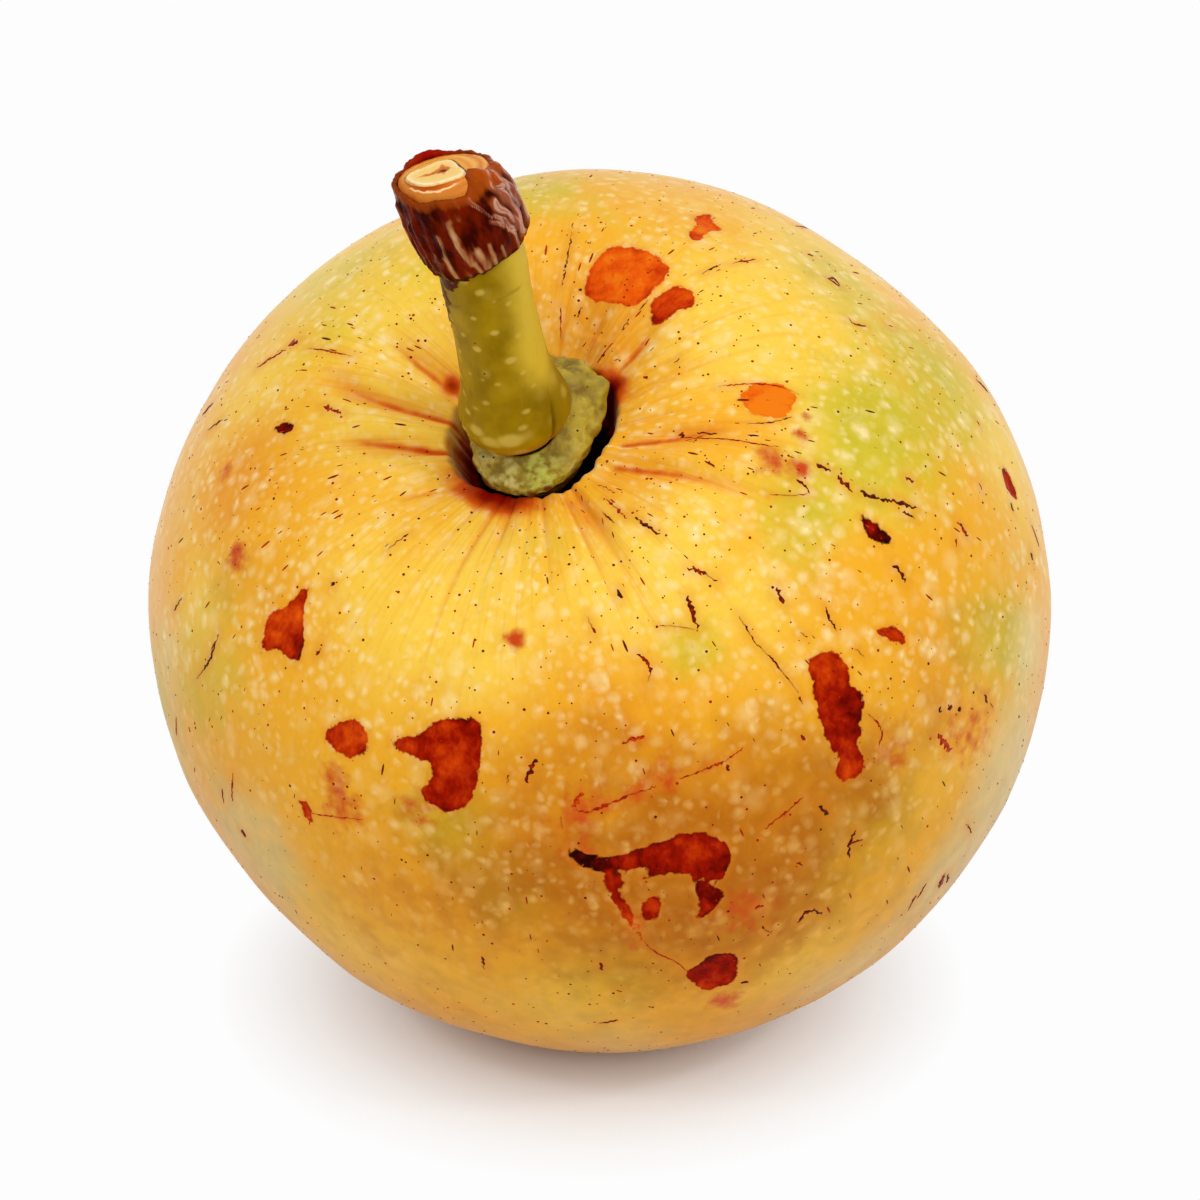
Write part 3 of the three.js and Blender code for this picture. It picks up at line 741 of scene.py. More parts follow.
row_height = laid(skin)[:, 2] / MM
rim_edge = PIT_R + noise_sum(growth, RIM_WAVES)
# The skin darkens into the pit through orange and red, to black at the bottom as painted shade.
stain = 1 - ease(r, rim_edge - 1.6, rim_edge + 0.9)
stain = np.maximum(stain, CREASE_DARKENING * crease * (1 - ease(r, 12, 24)))
for run_azimuth, run_width, most, full_mm, end_mm in PIT_RUNS:
    run = most * bell(turn_between(azimuth, run_azimuth), run_width)
    stain = np.maximum(stain, run * (1 - ease(r, PIT_R + full_mm, PIT_R + end_mm)))
stain = np.maximum(stain, 0.6 * spots_share([DIRT_SPOT]))
skin_numbers = {name: spots_share(spots) for name, spots in COLOUR_SPOTS.items()}
# The painted shade is a little weaker on the lowest skin.
weaker_shade_lowest = 0.9 + 0.1 * ease(row_height, 2, 14)
skin_numbers |= {
    "deep": (1 - ease(row_height, LOW_SHADE_END_MM, LOW_SHADE_START_MM)) * weaker_shade_lowest,
    "rubbed": spots_share(RUBBED),
    "streak_halo": streak_halo,
    "near_pit": bell(r, FIBRE_REACH_MM) * (z > 0),
    "stain": stain * (z > 0),
    "furrow": furrow,
    "scar": scar_distance,
    "scar_tone": scar_tone,
}
for name, values in skin_numbers.items():
    print(f"{name}: {values.min():.2f} to {values.max():.2f}")

# %% [markdown]
# ## From points to a mesh
# The grid becomes one closed mesh: a strip of four-sided faces between each ring and the
# next, and a fan at each pole. The resting side is pressed flat at the height of the ground.
# Each number made above is stored on the mesh under its name, where a finish can read it.

# %% Mesh helpers and the skin
def store_on(mesh, values_by_name):
    """Stores numbers, or vectors in rows of three, on the points of a mesh by name."""
    for name, values in values_by_name.items():
        values = np.ascontiguousarray(values, np.float32)
        kind, field = ("FLOAT", "value") if values.ndim == 1 else ("FLOAT_VECTOR", "vector")
        mesh.attributes.new(name, kind, "POINT").data.foreach_set(field, values.ravel())


def add_piece(name, points, faces, **values_by_name):
    """A smooth mesh object from fruit-frame points, with named values stored on its points."""
    mesh = bpy.data.meshes.new(name)
    mesh.from_pydata([tuple(p) for p in laid(points)], [], faces)
    mesh.shade_smooth()
    store_on(mesh, values_by_name)
    print(f"{name}: {len(points)} points, {len(faces)} faces")
    return add_object(name, mesh)


def grid_faces(rows, columns, closed=False):
    """Faces of a grid that closes round its columns, and round its rows too if `closed`."""
    faces = []
    for i in range(rows if closed else rows - 1):
        low, high = i * columns, (i + 1) % rows * columns
        pairs = [(j, (j + 1) % columns) for j in range(columns)]
        faces += [(low + j, low + k, high + k, high + j) for j, k in pairs]
    return faces


def capped_faces(rows, columns):
    """Grid faces with a fan at each end, whose two middle points come after the grid's own."""
    faces = grid_faces(rows, columns)
    low, high, last_row = rows * columns, rows * columns + 1, (rows - 1) * columns
    for j in range(columns):
        k = (j + 1) % columns
        faces.append((low, k, j))
        faces.append((high, last_row + j, last_row + k))
    return faces


FLECK_STRETCH, FLECK_MM, FLECK_SPREAD = 0.72, 10, 0.55

lying = laid(skin)
lying[:, 2] = np.maximum(lying[:, 2], 0)
skin = (lying - LAY_ARRAY[:3, 3]) @ np.linalg.inv(LAY_ARRAY[:3, :3]).T
# For the flecks, rings are narrower than they really are on the belly and wider near the
# poles, so that flecks are round on the belly and drawn out near the stalk.
half_round = (FLECK_MM + FLECK_SPREAD * r) / EQUATOR_R
drawn = growth * np.stack([half_round, half_round, np.full(len(r), FLECK_STRETCH)], 1)
rind = add_piece("rind", skin, capped_faces(RINGS, MERIDIANS), growth=growth, drawn=drawn, **skin_numbers)

# %% [markdown]
# ## Pieces of a finish
# Every finish below starts with the numbers stored on its mesh, lays colours over a ground,
# and ends with a fine relief. Short names stand for the nodes that come up again and again,
# with the order of their inputs beside them.

# %% What the finishes share
MIX = ("ShaderNodeMix", {"data_type": "RGBA"})  # share, below, above
STEP = ("ShaderNodeMapRange", {"interpolation_type": "SMOOTHSTEP"})  # value, low, high
TIMES = ("ShaderNodeMath", {"operation": "MULTIPLY"})
MORE = ("ShaderNodeMath", {"operation": "MULTIPLY_ADD"})  # value, weight, what it adds to
LESS = ("ShaderNodeMath", {"operation": "SUBTRACT"})
LARGER = ("ShaderNodeMath", {"operation": "MAXIMUM"})
NOISE = ("ShaderNodeTexNoise", {})  # vector, scale, detail
STRETCH = ("ShaderNodeVectorMath", {"operation": "MULTIPLY"})


def start_finish(name, numbers, **surface):
    """A new material, its own node adder, and the numbers stored on its mesh."""
    material, tree, _ = new_material(name, **surface)
    add = partial(add_node, tree)
    stored = {number: add("ShaderNodeAttribute", {"attribute_name": number}) for number in numbers}
    return material, add, stored


def place_in_mm(add):
    """Where each point of the piece lies, in millimetres."""
    return add(*STRETCH, [add("ShaderNodeTexCoord").outputs["Object"], (1 / MM, 1 / MM, 1 / MM)])


def painted(add, colour, layers):
    """Colours laid over a ground in turn: where each one shows, how strongly, and its colour."""
    for where, strength, above in layers:
        share = where if strength == 1 else add(*TIMES, [where, strength])
        colour = add(*MIX, [share, colour, above])
    return colour


def grains_at(add, vector, cell_mm, edge, middle, rarest, commonest):
    """Soft round grains, one to a cell: how wide, and in how many of the cells."""
    cells = add("ShaderNodeTexVoronoi", {}, {"Vector": vector, "Scale": 1 / cell_mm})
    lot = add("ShaderNodeSeparateColor", {}, [cells.outputs["Color"]])
    return add(*TIMES, [add(*STEP, [cells.outputs["Distance"], edge, middle]),
                        add(*STEP, [lot, rarest, commonest])])


def end_finish(material, add, height, strength, depth_mm, **feeds):
    """Joins a fine relief, and what feeds the shader's other sockets, to the material's shader."""
    tree = material.node_tree
    relief = {"Strength": strength, "Distance": depth_mm * MM, "Height": height}
    feeds["Normal"] = add("ShaderNodeBump", {}, relief)
    for socket, source in feeds.items():
        output = next(s for s in source.outputs if s.enabled)
        tree.links.new(output, tree.nodes["Principled BSDF"].inputs[socket.replace("_", " ")])
    print(f"{material.name}: {len(tree.nodes)} nodes")
    return material


print("nodes with short names: MIX, STEP, TIMES, MORE, LESS, LARGER, NOISE and STRETCH")

# %% [markdown]
# ## The finish of the rind
# Material: the waxy rind of a ripe pond apple, thin, smooth and a little translucent. The wax
# gives it a soft gloss, so roughness is 0.34 to 0.42 with an IOR near 1.45, and a little
# sheen stands for the light that the wax scatters. Its colour is built in the order that it
# grew: golden ground, broad spots of orange, green, cream and ochre (partly painted shade), pale
# spots of painted light at the edges, painted shade low down, clouds 9 mm wide and mottling 2.6 mm
# wide, cream flecks 0.5 to 1.5 mm long that point at the stalk, fibres 0.9 mm wide near the pit,
# then painted shade in the folds, the pit's darkening with painted shade, rubbed places and scars on top.

# %% Waxy rind
GROUND_GOLD, LEMON, CREAM = "#f6b024", "#fbce48", "#ffe6a4"
# The first of these is painted light reflected from the white table.
PALE_EDGE_LIGHT, GOLD_FLECK = "#e8dc9c", "#eab04c"
# The ochre is partly painted shade, and the deeper ochre is painted shade towards the ground.
ORANGE, GREEN, OCHRE_AND_SHADE, LOW_SHADE_OCHRE = "#ee961a", "#cabc28", "#bc6802", "#924c00"
# The black is painted shade at the bottom of the pit.
PIT_ORANGE, PIT_RED, PIT_SHADE_BLACK = "#d4560a", "#860c00", "#060000"
# The last is painted shade in the valleys of the folds.
RUBBED_RED, FIBRE_BROWN, FOLD_SHADE_ORANGE = "#c8400a", "#c98a20", "#e07a10"
SCAR_COLOURS = [(0.0, "#f07c12"), (0.2, "#ea5a08"), (0.42, "#c63604"), (0.62, "#9c1400"),
                (0.82, "#640400"), (1.0, "#240300")]
HALO_ORANGE = "#dc7f18"
WARM_GLOSS, RIND_GLOSS = "#ffb872", "#ffe4c4"
RIND_SHINE, RIND_SHEEN = 0.15, 0.2
CLOUD_MM, MOTTLE_MM, GRAIN_MM, RAGGED_MM = 9.0, 2.6, 0.8, 1.3
FLECKS = [(2.5, 0.52, 0.42), (1.5, 0.52, 0.58), (0.9, 0.55, 0.54)]  # cell in mm, soft edge, strength
FLECK_BEND, FLECK_BEND_MM = 0.9, 1.5
GRAIN_STREAK_MM, GRAIN_STREAK_STRETCH = 1.1, 0.4
FIBRE_MM, FIBRE_STRETCH = 0.9, 0.05
SCAR_EDGE_MM, SCAR_FINE_EDGE_MM = 0.9, 0.35
SCAR_CLOUD_MM, SCAR_LINE_MM, SCAR_LINE_STRETCH = 1.6, 0.4, 0.3
# Number, how much noise breaks it up, where it starts and is full, strength, colour
RIND_GROUNDS = [
    ("cream", 0.9, 0.62, 1.45, 1, LEMON), ("orange", 0.8, 0.75, 1.75, 1, ORANGE),
    # The ochre spots are partly painted shade.
    ("green", 0.8, 0.75, 1.75, 1, GREEN), ("ochre", 0.7, 0.6, 1.6, 1, OCHRE_AND_SHADE),
    # The pale spots are painted light.
    ("pale", 0.5, 0.6, 1.4, 0.75, PALE_EDGE_LIGHT),
]


def rind_ground(add, stored, clouds, mottle):
    """Gold, with broad spots whose borders the noise breaks up, and painted shade towards the ground."""
    broken = add(*MORE, [mottle, 0.6, clouds])
    layers = [(add(*STEP, [add(*MORE, [broken, noise_share, stored[number]]), low, high]), strength, tint)
              for number, noise_share, low, high, strength, tint in RIND_GROUNDS]
    # Painted shade towards the ground, in deeper ochre and patchy with the mottling.
    patchy = add(*MORE, [add(*STEP, [mottle, 0.3, 0.7]), 0.16, 0.26])
    layers.append((add(*TIMES, [stored["deep"], patchy]), 1, LOW_SHADE_OCHRE))
    return painted(add, GROUND_GOLD, layers)


def rind_flecks(add, stored, clouds, bent):
    """Cream flecks: one soft grain in each cell of three Voronoi patterns, and faint streaks."""
    flecks = 0.0
    for cell, soft_edge, most in FLECKS:
        flecks = add(*MORE, [grains_at(add, bent, cell, soft_edge, 0.06, 0.15, 0.9), most, flecks])
    streaky = add(*NOISE, [add(*STRETCH, [bent, (1, 1, GRAIN_STREAK_STRETCH)]), 1 / GRAIN_STREAK_MM, 2.0])
    flecks = add(*MORE, [add(*STEP, [streaky, 0.54, 0.78]), 0.15, flecks])
    flecks = add(*TIMES, [flecks, add(*STEP, [clouds, 0.1, 0.6])])
    # Under ochre and painted shade the flecks are fainter, and gold where they are cream elsewhere.
    darker = add(*LARGER, [stored["ochre"], stored["deep"]])
    flecks = add(*TIMES, [flecks, add(*MORE, [darker, -0.25, 1.0])])
    return flecks, 1, add(*MIX, [darker, CREAM, GOLD_FLECK])


def rind_finish():
    material, add, stored = start_finish("waxy_golden_rind", [*skin_numbers, "growth", "drawn"], IOR=1.45,
                                         Sheen_Roughness=0.3, Specular_Tint=linear(RIND_GLOSS))
    mm = place_in_mm(add)
    clouds, mottle, grain = (add(*NOISE, [mm, 1 / size, 3.0]) for size in (CLOUD_MM, MOTTLE_MM, GRAIN_MM))
    ragged = add(*NOISE, [mm, 1 / RAGGED_MM, 4.0])
    wander = add(*NOISE, [mm, 1 / FLECK_BEND_MM, 2.0]).outputs["Color"]
    bent = add("ShaderNodeVectorMath", {"operation": "MULTIPLY_ADD"},
               [wander, [FLECK_BEND] * 3, stored["drawn"]])

    # Ground and flecks, fibres near the pit, fine grain, rubbed places, painted fold shade, pit darkening.
    fibres = add(*NOISE, [add(*STRETCH, [stored["growth"], (1, 1, FIBRE_STRETCH)]), 1 / FIBRE_MM, 2.0])
    dark_fibre = add(*TIMES, [add(*STEP, [fibres, 0.5, 0.75]), stored["near_pit"]])
    pale_fibre = add(*TIMES, [add(*STEP, [fibres, 0.5, 0.28]), stored["near_pit"]])
    rubbed = add(*STEP, [add(*MORE, [ragged, 1.1, stored["rubbed"]]), 0.74, 1.45])
    furrow = add(*STEP, [add(*MORE, [fibres, 0.5, stored["furrow"]]), 0.35, 1.2])
    stain = add(*MORE, [ragged, 0.3, stored["stain"]])
    colour = painted(add, rind_ground(add, stored, clouds, mottle), [
        rind_flecks(add, stored, clouds, bent),
        (dark_fibre, 0.5, ORANGE),
        (pale_fibre, 0.3, LEMON),
        (add(*STEP, [grain, 0.5, 0.8]), 0.14, FIBRE_BROWN),
        (rubbed, 1, RUBBED_RED),
        # Orange painted shade in the valleys of the folds.
        (furrow, 0.6, FOLD_SHADE_ORANGE),
        (add(*STEP, [stain, 0.18, 0.55]), 1, PIT_ORANGE),
        (add(*STEP, [stain, 0.42, 0.85]), 1, PIT_RED),
        # Black at the bottom of the pit: painted shade.
        (add(*STEP, [stain, 0.84, 1.12]), 1, PIT_SHADE_BLACK),
    ])

    # Scars: halo, body and a darker rim, all from the distance to the edge.
    coarse = add(*MORE, [add(*NOISE, [mm, 1 / SCAR_EDGE_MM, 4.0]), 0.9, stored["scar"]])
    fine = add(*MORE, [add(*NOISE, [mm, 1 / SCAR_FINE_EDGE_MM, 2.0]), 0.35, coarse])
    edge = add(*LESS, [fine, 0.62])
    halo = add(*LARGER, [add(*STEP, [edge, 0.9, 0.0]), stored["streak_halo"]])
    tone = add(*MORE, [add(*NOISE, [mm, 1 / SCAR_CLOUD_MM, 5.0]), 0.8, stored["scar_tone"]])
    lines = add(*NOISE, [add(*STRETCH, [bent, (1, 1, SCAR_LINE_STRETCH)]), 1 / SCAR_LINE_MM, 3.0])
    tone = add(*MORE, [lines, 0.3, tone])
    tone = add(*MORE, [add(*STEP, [edge, -0.5, 0.1]), 0.1, tone])
    body = add("ShaderNodeValToRGB", {"stops": SCAR_COLOURS}, [add(*LESS, [tone, 0.54])])
    in_scar = add(*STEP, [edge, 0.16, -0.06])
    colour = painted(add, colour, [(halo, 0.32, HALO_ORANGE), (in_scar, 1, body)])

    # Bare cork and the skin darkened into the pit have less gloss and sheen.
    bare = add(*LARGER, [in_scar, add(*STEP, [stain, 0.3, 0.8])])
    rough = add(*MORE, [grain, 0.3, add(*MORE, [fibres, 0.5, mottle])])
    rough = add(*MORE, [add(*TIMES, [in_scar, coarse]), 0.8, rough])
    return end_finish(material, add, rough, 0.5, 0.1, Base_Color=colour,
                      Roughness=add(*MORE, [in_scar, 0.1, add(*MORE, [mottle, 0.08, 0.34])]),
                      Specular_IOR_Level=add(*MORE, [bare, -0.85 * RIND_SHINE, RIND_SHINE]),
                      Sheen_Weight=add(*MORE, [bare, -0.85 * RIND_SHEEN, RIND_SHEEN]))


rind.data.materials.append(rind_finish())
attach(rind, "root")
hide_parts("fruit")

# %% [markdown]
# ## Cork streaks as thin ridges
# A streak is too thin for the points of the rind, so it is a ridge of its own: a closed strip,
# lens-shaped in section, laid along its path on the skin and tapered at both ends. A ray from
# the middle of the fruit finds the skin at each step.

# %% Ridges of cork
RIDGE_RISE, RIDGE_SINK, RIDGE_STEP = 0.08, 0.05, 0.2
THIN_MM, BROKEN_SHARE = 0.45, 0.12  # a thinner streak fades in places to this share of its width
UNEVEN_WIDTH, UNEVEN_TONE, SWAY = (0.25, 1.15), (-0.25, 0.15), 0.3
SECTION = [(-1, 0), (-0.5, -1), (0.5, -1), (1, 0), (0.5, 1), (-0.5, 1)]  # across, and up or down

rind_tree = BVHTree.FromPolygons([Vector(p) for p in skin], [p.vertices[:] for p in rind.data.polygons])


def on_skin(direction):
    """The skin's point and outward normal in a direction from the fruit's centre."""
    place, normal, _, _ = rind_tree.ray_cast(Vector(direction) * 80, -Vector(direction))
    return np.array(place), np.array(normal)


def cork_ridges():
    draw = random.Random(11)
    points, faces, darkness = [], [], []
    for number, (width, dark, path) in enumerate(streaks):
        spots = path_spots(path, RIDGE_STEP)
        places, normals = zip(*(on_skin(d) for d in spots))
        places, normals = np.array(places), np.array(normals)
        along = np.gradient(places, axis=0)
        across = np.cross(normals, along)
        across /= np.maximum(np.linalg.norm(across, axis=1), 1e-9)[:, None]
        last = len(spots) - 1
        start = len(points)
        for i in range(last + 1):
            taper = math.sin(math.pi * (i + 0.6) / (last + 1.2)) ** 0.5
            broken = width < THIN_MM and noise.noise(Vector((0.22 * i, 7.3 * number, 0))) < -0.05
            half = 0.5 * width * taper * draw.uniform(*UNEVEN_WIDTH) * (BROKEN_SHARE if broken else 1)
            sway = SWAY * width * draw.uniform(-1, 1)
            for side, rise in SECTION:
                lift = RIDGE_RISE * rise if rise > 0 else RIDGE_SINK * rise
                points.append(places[i] + across[i] * (side * half + sway) + normals[i] * lift * taper)
                darkness.append(dark + draw.uniform(*UNEVEN_TONE))
        faces += [[v + start for v in face] for face in grid_faces(last + 1, len(SECTION))]
        faces.append([start + k for k in reversed(range(len(SECTION)))])
        faces.append([start + last * len(SECTION) + k for k in range(len(SECTION))])
    return add_piece("cork_streaks", points, faces, darkness=darkness)


cork_streaks = cork_ridges()

# %% [markdown]
# ## The finish of cork
# Material: dry cork, the healed skin of a scar. It is rougher than the wax round it, red-brown
# where thin and near black where thick. The same colours as the big scars keep them a family.

# %% Dry cork
CORK_GRAIN_MM = 0.35


def cork_finish(name):
    """Cork whose tone comes from the darkness stored on the mesh."""
    material, add, stored = start_finish(name, ["darkness"], Roughness=0.4, Specular_IOR_Level=0.2,
                                         Specular_Tint=linear(WARM_GLOSS))
    place = add("ShaderNodeTexCoord").outputs["Object"]
    grain = add(*NOISE, [place, 1 / (CORK_GRAIN_MM * MM), 3.0])
    tone = add(*MORE, [grain, 0.5, stored["darkness"]])
    body = add("ShaderNodeValToRGB", {"stops": SCAR_COLOURS}, [add(*LESS, [tone, 0.2])])
    return end_finish(material, add, grain, 0.4, 0.1, Base_Color=body)


cork_streaks.data.materials.append(cork_finish("dry_cork"))

# %% [markdown]
# ## Lenticels and dashes, by Geometry Nodes
# The rind breathes through about three thousand pinpoint pores, each a dark dome of cork up to
# a third of a millimetre across, and hundreds of short dashes that point at the stalk. Both
# repeat over the surface, so Geometry Nodes scatter them: points on the rind, thicker where a
# stored number says so, and a small dome on each, turned to the skin and to the stalk.

# %% A scatter tree
SMALL_BIAS = 2.2  # over 1, more of the domes are near the smallest size
DOME_TONES = {"Min": 0.45, "Max": 0.85, "Seed": 5}


def scatter_tree(name, finish, stretch):
    """Geometry Nodes that scatter small domes on a mesh by the number called `crowd`."""
    tree = bpy.data.node_groups.new(name, "GeometryNodeTree")
    add = partial(add_node, tree)
    sockets = {"Mesh": "NodeSocketGeometry", "Per square metre": "NodeSocketFloat",
               "Smallest": "NodeSocketFloat", "Largest": "NodeSocketFloat", "Seed": "NodeSocketInt"}
    for label, kind in sockets.items():
        tree.interface.new_socket(label, in_out="INPUT", socket_type=kind)
    tree.interface.new_socket("Mesh", in_out="OUTPUT", socket_type="NodeSocketGeometry")
    given = add("NodeGroupInput")
    crowd = add("GeometryNodeInputNamedAttribute", {"data_type": "FLOAT"}, {"Name": "crowd"})
    density = add("ShaderNodeMath", {"operation": "MULTIPLY"},
                       [crowd, given.outputs["Per square metre"]])
    scatter = add("GeometryNodeDistributePointsOnFaces", {"distribute_method": "RANDOM"},
                       {"Mesh": given.outputs["Mesh"], "Density": density, "Seed": given.outputs["Seed"]})
    stemward = add("GeometryNodeInputNamedAttribute", {"data_type": "FLOAT_VECTOR"}, {"Name": "stemward"})
    upright = add("FunctionNodeAlignRotationToVector", {"axis": "Z"},
                       {"Vector": scatter.outputs["Normal"]})
    # A stored direction is read where each point lies on the rind.
    aligned = add("FunctionNodeAlignRotationToVector", {"axis": "Y", "pivot_axis": "Z"},
                      {"Rotation": upright, "Vector": stemward})
    dome = add("GeometryNodeMeshUVSphere", {}, {"Radius": 0.5, "Segments": 8, "Rings": 4})
    flat = add("GeometryNodeTransform", {}, {"Geometry": dome, "Scale": stretch})
    lot = add("FunctionNodeRandomValue", {"data_type": "FLOAT"}, {"Seed": given.outputs["Seed"]})
    bias = add("ShaderNodeMath", {"operation": "POWER"}, [lot.outputs[1], SMALL_BIAS])
    size = add("ShaderNodeMapRange", {}, {"Value": bias, "To Min": given.outputs["Smallest"],
                                          "To Max": given.outputs["Largest"]})
    placed = add("GeometryNodeInstanceOnPoints", {}, {"Points": scatter.outputs["Points"], "Instance": flat,
                                                      "Rotation": aligned, "Scale": size})
    shade = add("FunctionNodeRandomValue", {"data_type": "FLOAT"}, DOME_TONES)
    kept = add("GeometryNodeStoreNamedAttribute", {"data_type": "FLOAT", "domain": "INSTANCE"},
                    {"Geometry": placed, "Name": "darkness", "Value": shade.outputs[1]})
    real = add("GeometryNodeRealizeInstances", {}, {"Geometry": kept})
    done = add("GeometryNodeSetMaterial", {}, {"Geometry": real, "Material": finish})
    leaving = add("NodeGroupOutput")
    tree.links.new(done.outputs[0], leaving.inputs[0])
    return tree


def scattered(name, ground, crowd, tree, **values):
    """A plain mesh of what the tree scatters on a copy of the ground piece."""
    mesh = ground.data.copy()
    store_on(mesh, {"crowd": crowd})
    bed = add_object(name + "_bed", mesh)
    modifier = bed.modifiers.new("scatter", "NODES")
    modifier.node_group = tree
    for item in tree.interface.items_tree:
        if item.in_out == "INPUT" and item.name.replace(" ", "_") in values:
            modifier[item.identifier] = values[item.name.replace(" ", "_")]
    result = bpy.data.meshes.new_from_object(bed.evaluated_get(bpy.context.evaluated_depsgraph_get()))
    bed.modifiers.remove(modifier)
    bpy.data.objects.remove(bed)
    result.name = name
    result.shade_smooth()
    print(f"{name}: {len(result.polygons)} faces")
    return add_object(name, result)


# %% Pores and dashes on the rind
PORES_PER_M2, DASHES_PER_M2 = 2.0e5, 2.34e5
PORE_MM, DASH_MM = (0.13, 0.32), (0.3, 1.3)  # smallest and largest
PORE_SHAPE, DASH_SHAPE = (1, 1, 0.35), (0.2, 1.1, 0.12)  # across, towards the stalk, and up
PORE_CROWDS = [(0.35, 14, 7.0, 1)]
# Azimuth, width in degrees and how crowded
DASH_RAYS = [
    (-141, 9, 1.0), (-170, 10, .7), (163, 12, .6), (92, 14, .8), (60, 8, .5), (-42, 9, .9),
    (-20, 8, .5), (4, 10, .8),
]

toward_stem = turned(-1, azimuth, 0.6) @ (LAY_ARRAY[:3, :3] / MM).T
store_on(rind.data, {"stemward": toward_stem})

clear = ((r > PIT_R + 1) | (z < 0)) & (row_height > 0.3)
pore_crowd = clear * (0.55 + 0.9 * bell(r - 16, 9) + noise_sum(skin, PORE_CROWDS))
dash_crowd = np.zeros(len(skin))
for ray_azimuth, ray_width, most in DASH_RAYS:
    dash_crowd = np.maximum(dash_crowd, most * bell(turn_between(azimuth, ray_azimuth), ray_width))
dash_crowd = clear * (z > 0) * (0.06 + dash_crowd * bell(r - 17, 9))

pore_cork = cork_finish("dark_pore_cork")
rind_pores = scattered("rind_pores", rind, np.maximum(pore_crowd, 0),
                       scatter_tree("pores", pore_cork, PORE_SHAPE), Per_square_metre=PORES_PER_M2,
                       Smallest=PORE_MM[0] * MM, Largest=PORE_MM[1] * MM, Seed=3)
rind_dashes = scattered("rind_dashes", rind, dash_crowd,
                        scatter_tree("dashes", pore_cork, DASH_SHAPE), Per_square_metre=DASHES_PER_M2,
                        Smallest=DASH_MM[0] * MM, Largest=DASH_MM[1] * MM, Seed=8)
for piece in (cork_streaks, rind_pores, rind_dashes):
    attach(piece, "root")

# %% [markdown]
# ## The line of the stalk
# The stalk, the bark round its end and the cut wood all follow one curved line, so a small
# helper gives a place and two sideways directions at any distance along it. A closed tube is
# then a grid: distance along the line by angle round it, with any radius at each point.

# %% The stalk's line
STALK_LINE = [
    (-.6, 0, 24.2), (-.7, 0, 30), (-1.1, 0, 36), (-1.4, 1.2, 42), (-1.7, 2.8, 47), (-2.2, 4.7, 51.9),
    (-2.6, 6.2, 55), (-3.9, 7.9, 58.7), (-5.5, 9.5, 62.4),
]
# Distance along and radius
STALK_RADII = [
    (0, 2), (4, 2.4), (8, 2.7), (11.8, 2.7), (12.1, 4.1), (12.7, 4.9), (13.8, 5.35), (15, 5.2),
    (17, 4.65), (19.5, 4.2), (23, 4.05), (27, 4), (30.5, 4.05), (34, 4.1),
]
SLEEVE_LENGTH = 10.2
CORE_R = 3.0


def dense_line(points, steps=40):
    """A smooth curve through the points, and the distance along it."""
    line = smooth_curve(points, steps)
    return line, np.concatenate([[0], np.cumsum(np.linalg.norm(np.diff(line, axis=0), axis=1))])


line_points, line_reach = dense_line(STALK_LINE)
STALK_LENGTH = float(line_reach[-1])
SLEEVE_START = STALK_LENGTH - SLEEVE_LENGTH


def along_stalk(distance):
    """Middle, right, up and forward directions at each distance along the stalk's line."""
    distance = np.asarray(distance, float)
    middle = np.stack([np.interp(distance, line_reach, line_points[:, k]) for k in range(3)], -1)
    forward = np.gradient(line_points, axis=0)
    forward = np.stack([np.interp(distance, line_reach, forward[:, k]) for k in range(3)], -1)
    forward /= np.linalg.norm(forward, axis=-1, keepdims=True)
    past = np.maximum(distance - STALK_LENGTH, 0)[..., None]
    right = np.array([1.0, 0, 0]) - forward * forward[..., :1]
    right /= np.linalg.norm(right, axis=-1, keepdims=True)
    return middle + forward * past, right, np.cross(forward, right), forward


def tube_points(distance, angle_deg, radius):
    """Points at a distance along the line, an angle round it and a radius from it."""
    middle, right, up, _ = along_stalk(distance)
    turn = np.radians(angle_deg)[..., None]
    return middle + radius[..., None] * (np.cos(turn) * right + np.sin(turn) * up)


print("stalk", round(STALK_LENGTH, 1), "mm long, bark from", round(SLEEVE_START, 1), "mm")

# %% [markdown]
# ## The calyx collar
# Under the stalk's foot sits what is left of the flower: a thick shrivelled ring. It is a
# lathe shape whose edge is pushed out and up where a sepal was, most of all at the right, where
# a stub rises against the stalk. Noise lumps it, and small round warts cover its top.

# %% Collar
# Radius and height
COLLAR_PROFILE = [(3.7, 29), (4.5, 29.2), (5.1, 31), (5.7, 32.5), (6.3, 33.5), (6.25, 34.4), (5.5, 35.1),
                  (4.5, 35.8),
                  (3.7, 35.6)]
COLLAR_OFFSET_X = -0.8
COLLAR_INNER, COLLAR_OUTER = 3.7, 6.3
# Azimuth, where the edge lies and how much it is raised
COLLAR_EDGE = [
    (-180, 5.3, .4), (-150, 5.4, .1), (-125, 6, 0), (-100, 6.5, -.1), (-80, 6.8, -.1), (-50, 6.7, -.1),
    (-25, 6.4, .1), (0, 6.8, .5), (20, 7.6, 1.1), (38, 8.4, 1.7), (60, 8.2, 1.9), (85, 7.2, 1.5),
    (120, 6.5, .8), (150, 5.8, .5), (180, 5.3, .4),
]
COLLAR_COLUMNS, COLLAR_STEPS = 260, 9
# Layers of noise, as for the skin
COLLAR_LUMPS = [(0.26, 1.9, 20, 1), (0.12, 0.75, 21, 1)]
COLLAR_NICKS = [(0.40, 1.2, 22, 0.3)]
COLLAR_WARTS = [(0.20, 1.25, 4), (0.12, 0.6, 9)]  # height, spacing in mm, seed


def warts_at(points, size, seed):
    """Round bumps about `size` apart: 1 on top of each, 0 between them."""
    shift = Vector((seed, seed, seed))
    near = np.array([noise.voronoi(Vector(p) / size + shift)[0][0] for p in points])
    return np.clip(1 - (near / 0.55) ** 2, 0, 1)


